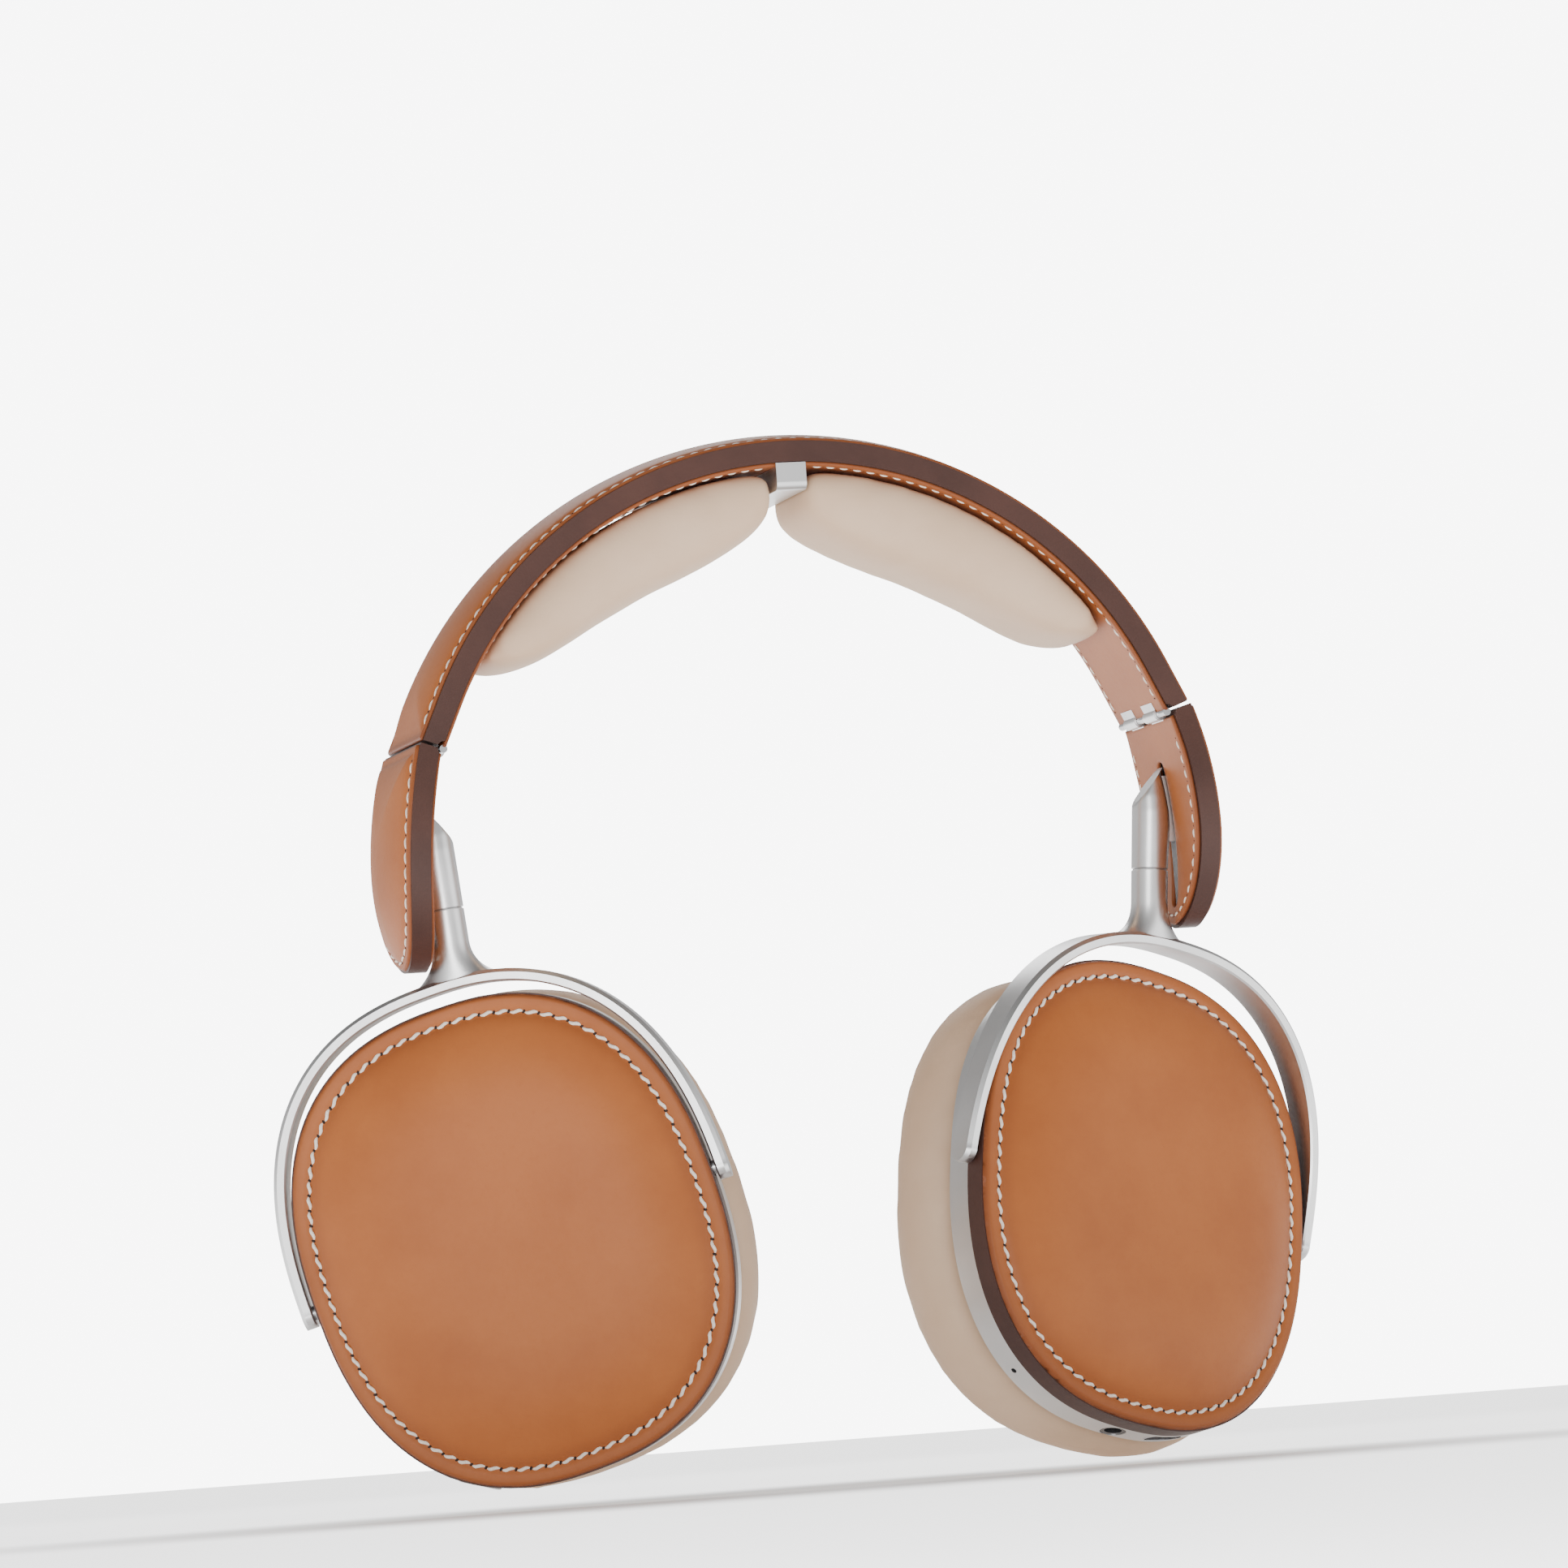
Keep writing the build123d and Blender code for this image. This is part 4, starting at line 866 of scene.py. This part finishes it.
def stem_shell(stem, down):
    """Round stem of the yoke, flaring into the top of the arch, in the yoke's own axes."""
    across = np.array((-down[1], down[0], 0))
    depths = np.arange(0, 40, 0.05)

    def arch_depth(offset):
        path = stem + across * offset + down * depths[:, None]
        inside = oval_size(path, ARCH_UP + ARCH_HALF_THICK, ARCH_ACROSS + ARCH_HALF_THICK) < 1
        return depths[np.argmax(inside)] + STEM_SINK

    count = 48
    turns = full_turn(count)
    start = arch_depth(0) - STEM_SINK - FLARE
    rings = [(0.05, STEM_RADIUS - 0.3, 0), (0.3, STEM_RADIUS, 0), (start, STEM_RADIUS, 0)]
    for a in np.linspace(0.12, math.pi / 2, 12):
        rings.append((start, STEM_RADIUS + FLARE * (1 - math.cos(a)), math.sin(a)))
    points = []
    for h, half, share in rings:
        for turn in turns:
            offset = half * math.cos(turn)
            depth = h + share * (arch_depth(offset) - h)
            thick = min(half, STEM_RADIUS) + 0.2 * share
            points.append(stem + down * depth + across * offset + np.array((0, 0, thick * math.sin(turn))))
    return points, tube_faces(len(rings), count)


def yoke(name, side):
    """The cast aluminium yoke: arch and stem."""
    origin, axes = cup_frame(name, 0.0)
    stem = axes @ (np.array((side * STEM[0], 0, STEM[1])) - origin)
    down = axes @ np.array((-side * math.sin(STEM_LEAN), 0, -math.cos(STEM_LEAN)))
    points, faces = arch_shell()
    more, extra = stem_shell(stem, down)
    faces += [tuple(len(points) + k for k in face) for face in extra]
    local = np.vstack([points, more])
    points = origin + local @ axes
    body = f"{name}_fork"
    piece = add_piece(f"{name}_yoke_casting", points, faces, ALUMINIUM, body)
    face_out(piece)
    sharpen(piece)
    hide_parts(f"{name}_yoke")


# Height up the stem, half width towards the tab, half width front to back.
SOCKET_PROFILE = (
    (0.0, 3.45, 3.45),
    (0.25, 3.75, 3.75),
    (3.0, 3.8, 3.78),
    (6.0, 4.0, 3.85),
    (9.0, 4.1, 3.9),
    (12.0, 3.85, 3.9),
    (15.0, 3.25, 3.7),
    (18.0, 2.55, 3.2),
    (20.0, 2.0, 2.5),
    (21.0, 1.5, 1.7),
)
FACET = (13.0, 0.72)        # height where the slanted facet starts, and how far it leans in per millimetre
# Neck from the socket into the rail: inner and outer face, half width, bottom and top.
NECK_X = (77.0, 80.6)
NECK_HALF = 1.3
NECK_Z = (-73.9, -60.5)


def stem_socket(name, side):
    """Bullet-shaped socket with a slanted flat on the head's side and a neck into the rail."""
    heights, reaches, widths = (np.array(column) for column in zip(*SOCKET_PROFILE))
    levels = np.unique(np.concatenate([heights, np.arange(0.5, 21.0, 0.5)]))
    count = 48
    turns = full_turn(count)
    up = np.array((side * math.sin(STEM_LEAN), 0, math.cos(STEM_LEAN)))
    outwards = np.array((side * math.cos(STEM_LEAN), 0, -math.sin(STEM_LEAN)))
    foot = np.array((side * STEM[0], 0, STEM[1]))
    points = []
    for h in levels:
        reach, wide = np.interp(h, heights, reaches), np.interp(h, heights, widths)
        inner = min(STEM_RADIUS, wide)
        for turn in turns:
            x = math.cos(turn) * (reach if math.cos(turn) > 0 else inner)
            x = max(x, -STEM_RADIUS + FACET[1] * (h - FACET[0])) if h > FACET[0] else x
            points.append(foot + up * h + outwards * x + np.array((0, wide * math.sin(turn), 0)))
    faces = tube_faces(len(levels), count) + box_faces(len(points))
    low, high = NECK_Z
    corners = ((-NECK_HALF, low), (NECK_HALF, low), (NECK_HALF, high), (-NECK_HALF, high))
    points += [np.array((side * x, y, z)) for x in NECK_X for y, z in corners]
    body = f"{name}_slider"
    piece = add_piece(f"{name}_socket_casting", points, faces, ALUMINIUM, body)
    face_out(piece)
    sharpen(piece)
    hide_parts(f"{name}_stem_socket")


# Hinge plates: reach from the band's middle, ends from the joint face, and sides from the lining's face.
PLATE_REACH = (3.1, 10.4)
PLATE_ENDS = (0.15, 2.5)
PLATE_SIDES = (-0.6, 0.14)


def hinge_plates(name, side):
    """The band's hinge leaf as two flat plates let into the lining."""
    end = side * (BAND_LENGTH - JOINT_LEAN * LINING_DEPTH)
    near, far = PLATE_REACH
    start, stop = PLATE_ENDS
    points, faces = [], []
    for front, back in ((near, far), (-far, -near)):
        faces += box_faces(len(points))
        corners = ((start, front), (start, back), (stop, back), (stop, front))
        for depth in PLATE_SIDES:
            points += [band_point(end - side * u, y, LINING_DEPTH + depth) for u, y in corners]
    plates = add_piece(f"{name}_hinge_plates", points, faces, STEEL, "headband")
    face_out(plates)
    sharpen(plates)
    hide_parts(f"{name}_hinge_upper_leaf")


# ---------------------------------------------------------------- padded leather by cloth simulation

CLOTH_FRAMES = 20
PAD_VOXEL = 2.2             # mesh size in millimetres


def mesh_points(piece):
    co = np.empty(len(piece.data.vertices) * 3, np.float32)
    piece.data.vertices.foreach_get("co", co)
    return co.reshape(-1, 3).astype(float)


def set_points(piece, points):
    piece.data.vertices.foreach_set("co", points.astype(np.float32).ravel())
    piece.data.update()


def bake(piece):
    """Makes the piece's modifiers part of its mesh."""
    evaluated = piece.evaluated_get(bpy.context.evaluated_depsgraph_get())
    mesh = bpy.data.meshes.new_from_object(evaluated)
    piece.modifiers.clear()
    piece.data = mesh


def inflate(piece, held, cap, pressure):
    """Remeshes a closed form, blows it up as cloth with the held part fixed, and rounds it off.

    cap is the farthest that any point may move.
    """
    remesh = piece.modifiers.new("remesh", "REMESH")
    remesh.mode = "VOXEL"
    remesh.voxel_size = PAD_VOXEL * MM
    bake(piece)
    start = mesh_points(piece)
    group = piece.vertex_groups.new(name="held")
    group.add([int(i) for i in np.flatnonzero(held(start / MM))], 1.0, "REPLACE")
    cloth = piece.modifiers.new("cloth", "CLOTH")
    cloth.settings.use_pressure = True
    cloth.settings.uniform_pressure_force = pressure
    cloth.settings.vertex_group_mass = "held"
    cloth.settings.tension_stiffness = 25
    cloth.settings.compression_stiffness = 25
    cloth.settings.bending_stiffness = 4
    cloth.settings.quality = 6
    cloth.settings.effector_weights.gravity = 0
    scene = bpy.context.scene
    for step in range(1, CLOTH_FRAMES + 1):
        scene.frame_set(step)
    bake(piece)
    scene.frame_set(1)
    moved = mesh_points(piece) - start
    length = np.linalg.norm(moved, axis=1, keepdims=True)
    set_points(piece, start + moved * np.minimum(1, cap * MM / np.maximum(length, 1e-9)))
    soft = piece.modifiers.new("soft", "SMOOTH")
    soft.factor = 0.5
    soft.iterations = 6
    fine = piece.modifiers.new("fine", "SUBSURF")
    fine.levels = fine.render_levels = 1
    bake(piece)
    piece.data.polygons.foreach_set("use_smooth", [True] * len(piece.data.polygons))
    piece.data.materials.clear()
    piece.data.materials.append(CREAM)


def ear_cushion(name):
    """Foam ring under thin leather, blown up against its plate, with a sunk seam round the ear's opening
    darkened by painted shade.
    """
    count = 96
    hole_up, hole_across = EAR_HOLE
    sections = [(CUSHION_BACK, hole_up, hole_across), *CUSHION_WALL, *CUSHION_FRONT]
    sections += [(height, hole_up + wider, hole_across + wider) for height, wider in CUSHION_THROAT]
    rings = []
    for height, up, across in sections:
        ring = oval_loop(up, across, count)
        ring[:, 2] = height
        rings.append(ring)
    points = placed(name, np.vstack(rings))
    faces = grid_faces(len(rings), count, wrap_rows=True)
    cushion = add_piece(f"{name}_ear_pad", points, faces, CREAM, f"{name}_cup")
    face_out(cushion)
    origin, axes = cup_frame(name)

    def held(points):
        return (points - origin) @ axes.T[:, 2] > CUSHION_HELD

    inflate(cushion, held, cap=2.2, pressure=5.0)
    local = (mesh_points(cushion) / MM - origin) @ axes.T
    normals = np.array([v.normal for v in cushion.data.vertices])
    offset = (oval_size(local, *CUSHION_SEAM) ** (1 / OVAL_POWER) - 1) * 35
    front = local[:, 2] < -20
    sunk = np.where(front, 0.9 * np.exp(-(offset / 1.3) ** 2), 0)
    set_points(cushion, mesh_points(cushion) - normals * sunk[:, None] * MM)
    # Painted shade along the sunk seam on the ear side.
    shade(cushion, np.where(front, 0.5 * np.exp(-(offset / 1.2) ** 2), 0))
    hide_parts(f"{name}_ear_cushion")


def shade(piece, values):
    """Sets how much painted shade darkens the leather at each point."""
    attribute = piece.data.attributes.new("burnish_and_shade", "FLOAT", "POINT")
    attribute.data.foreach_set("value", values.astype(np.float32))


def crown_pad(name, side):
    """Foam pillow under the band's lining, thin at the clip and rounded at its far end."""
    stations, depths = zip(*PAD_DEPTHS)
    angles = np.concatenate([np.arange(PAD_START, PAD_END, 1.2), [PAD_END]])
    count = 36
    turns = full_turn(count)
    squareness = np.where(np.sin(turns) > 0.01, 0.3, 0.62)
    rings = []
    top_radius = LINING_RADIUS - PAD_GAP
    for angle in angles:
        depth = float(np.interp(angle, stations, depths))
        near_end = min(1.0, (PAD_END - angle) / 7)
        half = PAD_HALF_WIDTH * (1 - 0.28 * (1 - near_end) ** 2)
        y = half * np.sign(np.cos(turns)) * np.abs(np.cos(turns)) ** squareness
        drop = depth / 2 * (1 - np.sign(np.sin(turns)) * np.abs(np.sin(turns)) ** squareness)
        radius = top_radius - drop
        a = math.radians(angle)
        rings.append(np.stack([side * radius * math.sin(a), y, BAND_CENTRE_Z + radius * math.cos(a)], 1))
    faces = tube_faces(len(rings), count)
    pad = add_piece(f"{name}_crown_cushion", np.vstack(rings), faces, CREAM, "headband")
    face_out(pad)

    def held(points):
        reach = np.hypot(points[:, 0], points[:, 2] - BAND_CENTRE_Z)
        return reach > top_radius - 1.6

    inflate(pad, held, cap=1.6, pressure=4.0)
    points = mesh_points(pad)
    reach = np.hypot(points[:, 0], points[:, 2] - BAND_CENTRE_Z * MM)
    over = reach > top_radius * MM
    scale = np.where(over, top_radius * MM / reach, 1.0)
    points[:, 0] *= scale
    points[:, 2] = BAND_CENTRE_Z * MM + (points[:, 2] - BAND_CENTRE_Z * MM) * scale
    set_points(pad, points)
    # Painted shade: the pad's leather darkens within 1.2 mm of the lining, where pad and band meet.
    shade(pad, np.clip(0.5 - (top_radius * MM - reach) / (2.4 * MM), 0, 0.5))
    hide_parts(f"{name}_crown_pad")


# ---------------------------------------------------------------- stage

CAMERA_AZIMUTH = math.radians(-15.39)
CAMERA_ELEVATION = math.radians(-4.62)
CAMERA_DISTANCE = 1.6413
CAMERA_ROLL = math.radians(4.32)
CAMERA_LENS = 186.3
# The aim point: its x, its share of the object's height below the top, and metres below that.
CAMERA_AIM_X = -0.002
CAMERA_DROP = 0.276
CAMERA_LOWER = 0.012
FLOOR_HALF = 30.0
FLOOR_GAP = 0.0004          # keeps the floor just clear of the cushions


def camera():
    """The photograph's view: a long lens from the front, a little to the wearer's right."""
    low, high = cad_box
    aim = Vector((CAMERA_AIM_X, 0, high.z - (high.z - low.z) * CAMERA_DROP - CAMERA_LOWER))
    flat = math.cos(CAMERA_ELEVATION)
    sideways = math.sin(CAMERA_AZIMUTH) * flat
    back = Vector((sideways, -math.cos(CAMERA_AZIMUTH) * flat, math.sin(CAMERA_ELEVATION)))
    data = bpy.data.cameras.new("camera")
    data.lens = CAMERA_LENS
    data.sensor_width = 36
    made = bpy.data.objects.new("camera", data)
    bpy.context.scene.collection.objects.link(made)
    made.location = aim + back * CAMERA_DISTANCE
    level = (-back).to_track_quat("-Z", "Y").to_matrix()
    made.rotation_euler = (level @ Matrix.Rotation(-CAMERA_ROLL, 3, "Z")).to_euler()
    bpy.context.scene.camera = made


def area_light(name, place, aim, size, power):
    data = bpy.data.lights.new(name, "AREA")
    data.shape = "RECTANGLE"
    data.size, data.size_y = size
    data.energy = power
    lamp = bpy.data.objects.new(name, data)
    bpy.context.scene.collection.objects.link(lamp)
    lamp.location = place
    lamp.rotation_euler = (Vector(aim) - Vector(place)).to_track_quat("-Z", "Y").to_euler()


def studio_light(tree):
    """White surround: darkest overhead and brightest from the horizon down, as in a light tent."""
    lit = tree.nodes["Background"]
    lit.inputs["Color"].default_value = (1.0, 0.995, 0.99, 1)
    direction = tree.nodes.new("ShaderNodeTexCoord")
    split = tree.nodes.new("ShaderNodeSeparateXYZ")
    tree.links.new(direction.outputs["Generated"], split.inputs["Vector"])
    level = map_range(tree, split.outputs["Z"], -0.2, 0.8, 1.12, 0.22)
    tree.links.new(level.outputs["Result"], lit.inputs["Strength"])
    white = tree.nodes.new("ShaderNodeBackground")
    white.inputs["Color"].default_value = (1, 1, 1, 1)
    white.inputs["Strength"].default_value = 8.0
    path = tree.nodes.new("ShaderNodeLightPath")
    pick = tree.nodes.new("ShaderNodeMixShader")
    tree.links.new(path.outputs["Is Camera Ray"], pick.inputs["Fac"])
    tree.links.new(lit.outputs["Background"], pick.inputs[1])
    tree.links.new(white.outputs["Background"], pick.inputs[2])
    tree.links.new(pick.outputs["Shader"], tree.nodes["World Output"].inputs["Surface"])


def floor_glow(tree, shader):
    """Makes the floor glow with painted light, rising to pure white away from the headphones and leaving a
    painted shadow round them.
    """
    place = tree.nodes.new("ShaderNodeTexCoord")
    reach = tree.nodes.new("ShaderNodeVectorMath")
    reach.operation = "LENGTH"
    tree.links.new(place.outputs["Object"], reach.inputs[0])
    # Painted light: the floor's glow grows from 0.35 near the headphones to 2.2 beyond 26 cm, so a painted
    # shadow stays round them.
    fade = map_range(tree, reach.outputs["Value"], 0.06, 0.26, 0.35, 2.2)
    fade.interpolation_type = "SMOOTHSTEP"
    shader.inputs["Emission Color"].default_value = (1, 1, 1, 1)
    tree.links.new(fade.outputs["Result"], shader.inputs["Emission Strength"])


def stage():
    """Pale floor under the cushions, glowing with painted light away from them, and a bright studio round
    it.
    """
    low, high = cad_box
    mesh = bpy.data.meshes.new("floor")
    corners = [(x * FLOOR_HALF, y * FLOOR_HALF, 0) for x, y in ((-1, -1), (1, -1), (1, 1), (-1, 1))]
    mesh.from_pydata(corners, [], [(0, 1, 2, 3)])
    floor = bpy.data.objects.new("floor", mesh)
    floor.location.z = low.z - FLOOR_GAP
    bpy.context.scene.collection.objects.link(floor)
    material, tree, shader = new_material("floor", (0.90, 0.89, 0.88), 0.6)
    floor_glow(tree, shader)
    mesh.materials.append(material)
    world = bpy.data.worlds.new("studio")
    bpy.context.scene.world = world
    world.use_nodes = True
    studio_light(world.node_tree)
    centre = (low + high) / 2
    area_light("key", (-0.5, -1.3, -0.05), centre, (0.5, 0.5), 7)
    area_light("fill", (1.3, -0.9, 0.0), centre, (0.9, 0.9), 4)
    area_light("rim", (0.3, 1.2, 0.8), centre, (0.9, 0.5), 6)


# ---------------------------------------------------------------- all pieces

def paint_cad_nodes():
    """Gives every carried-over CAD node the material of its slot."""
    for part in frame["record"]["subparts"]:
        node = frame["nodes"][part["node"]]
        node.data.materials.clear()
        node.data.materials.append(SLOT_MATERIALS[part["material_slot"]])


camera()
stage()
paint_cad_nodes()
band_cover()
band_lining()
lining_stitches()
for name, side in SIDES.items():
    tab_cover(name, side)
    tab_lining(name, side)
    yoke(name, side)
    stem_socket(name, side)
    hinge_plates(name, side)
    cup_cover(name)
    crown_pad(name, side)
    ear_cushion(name)
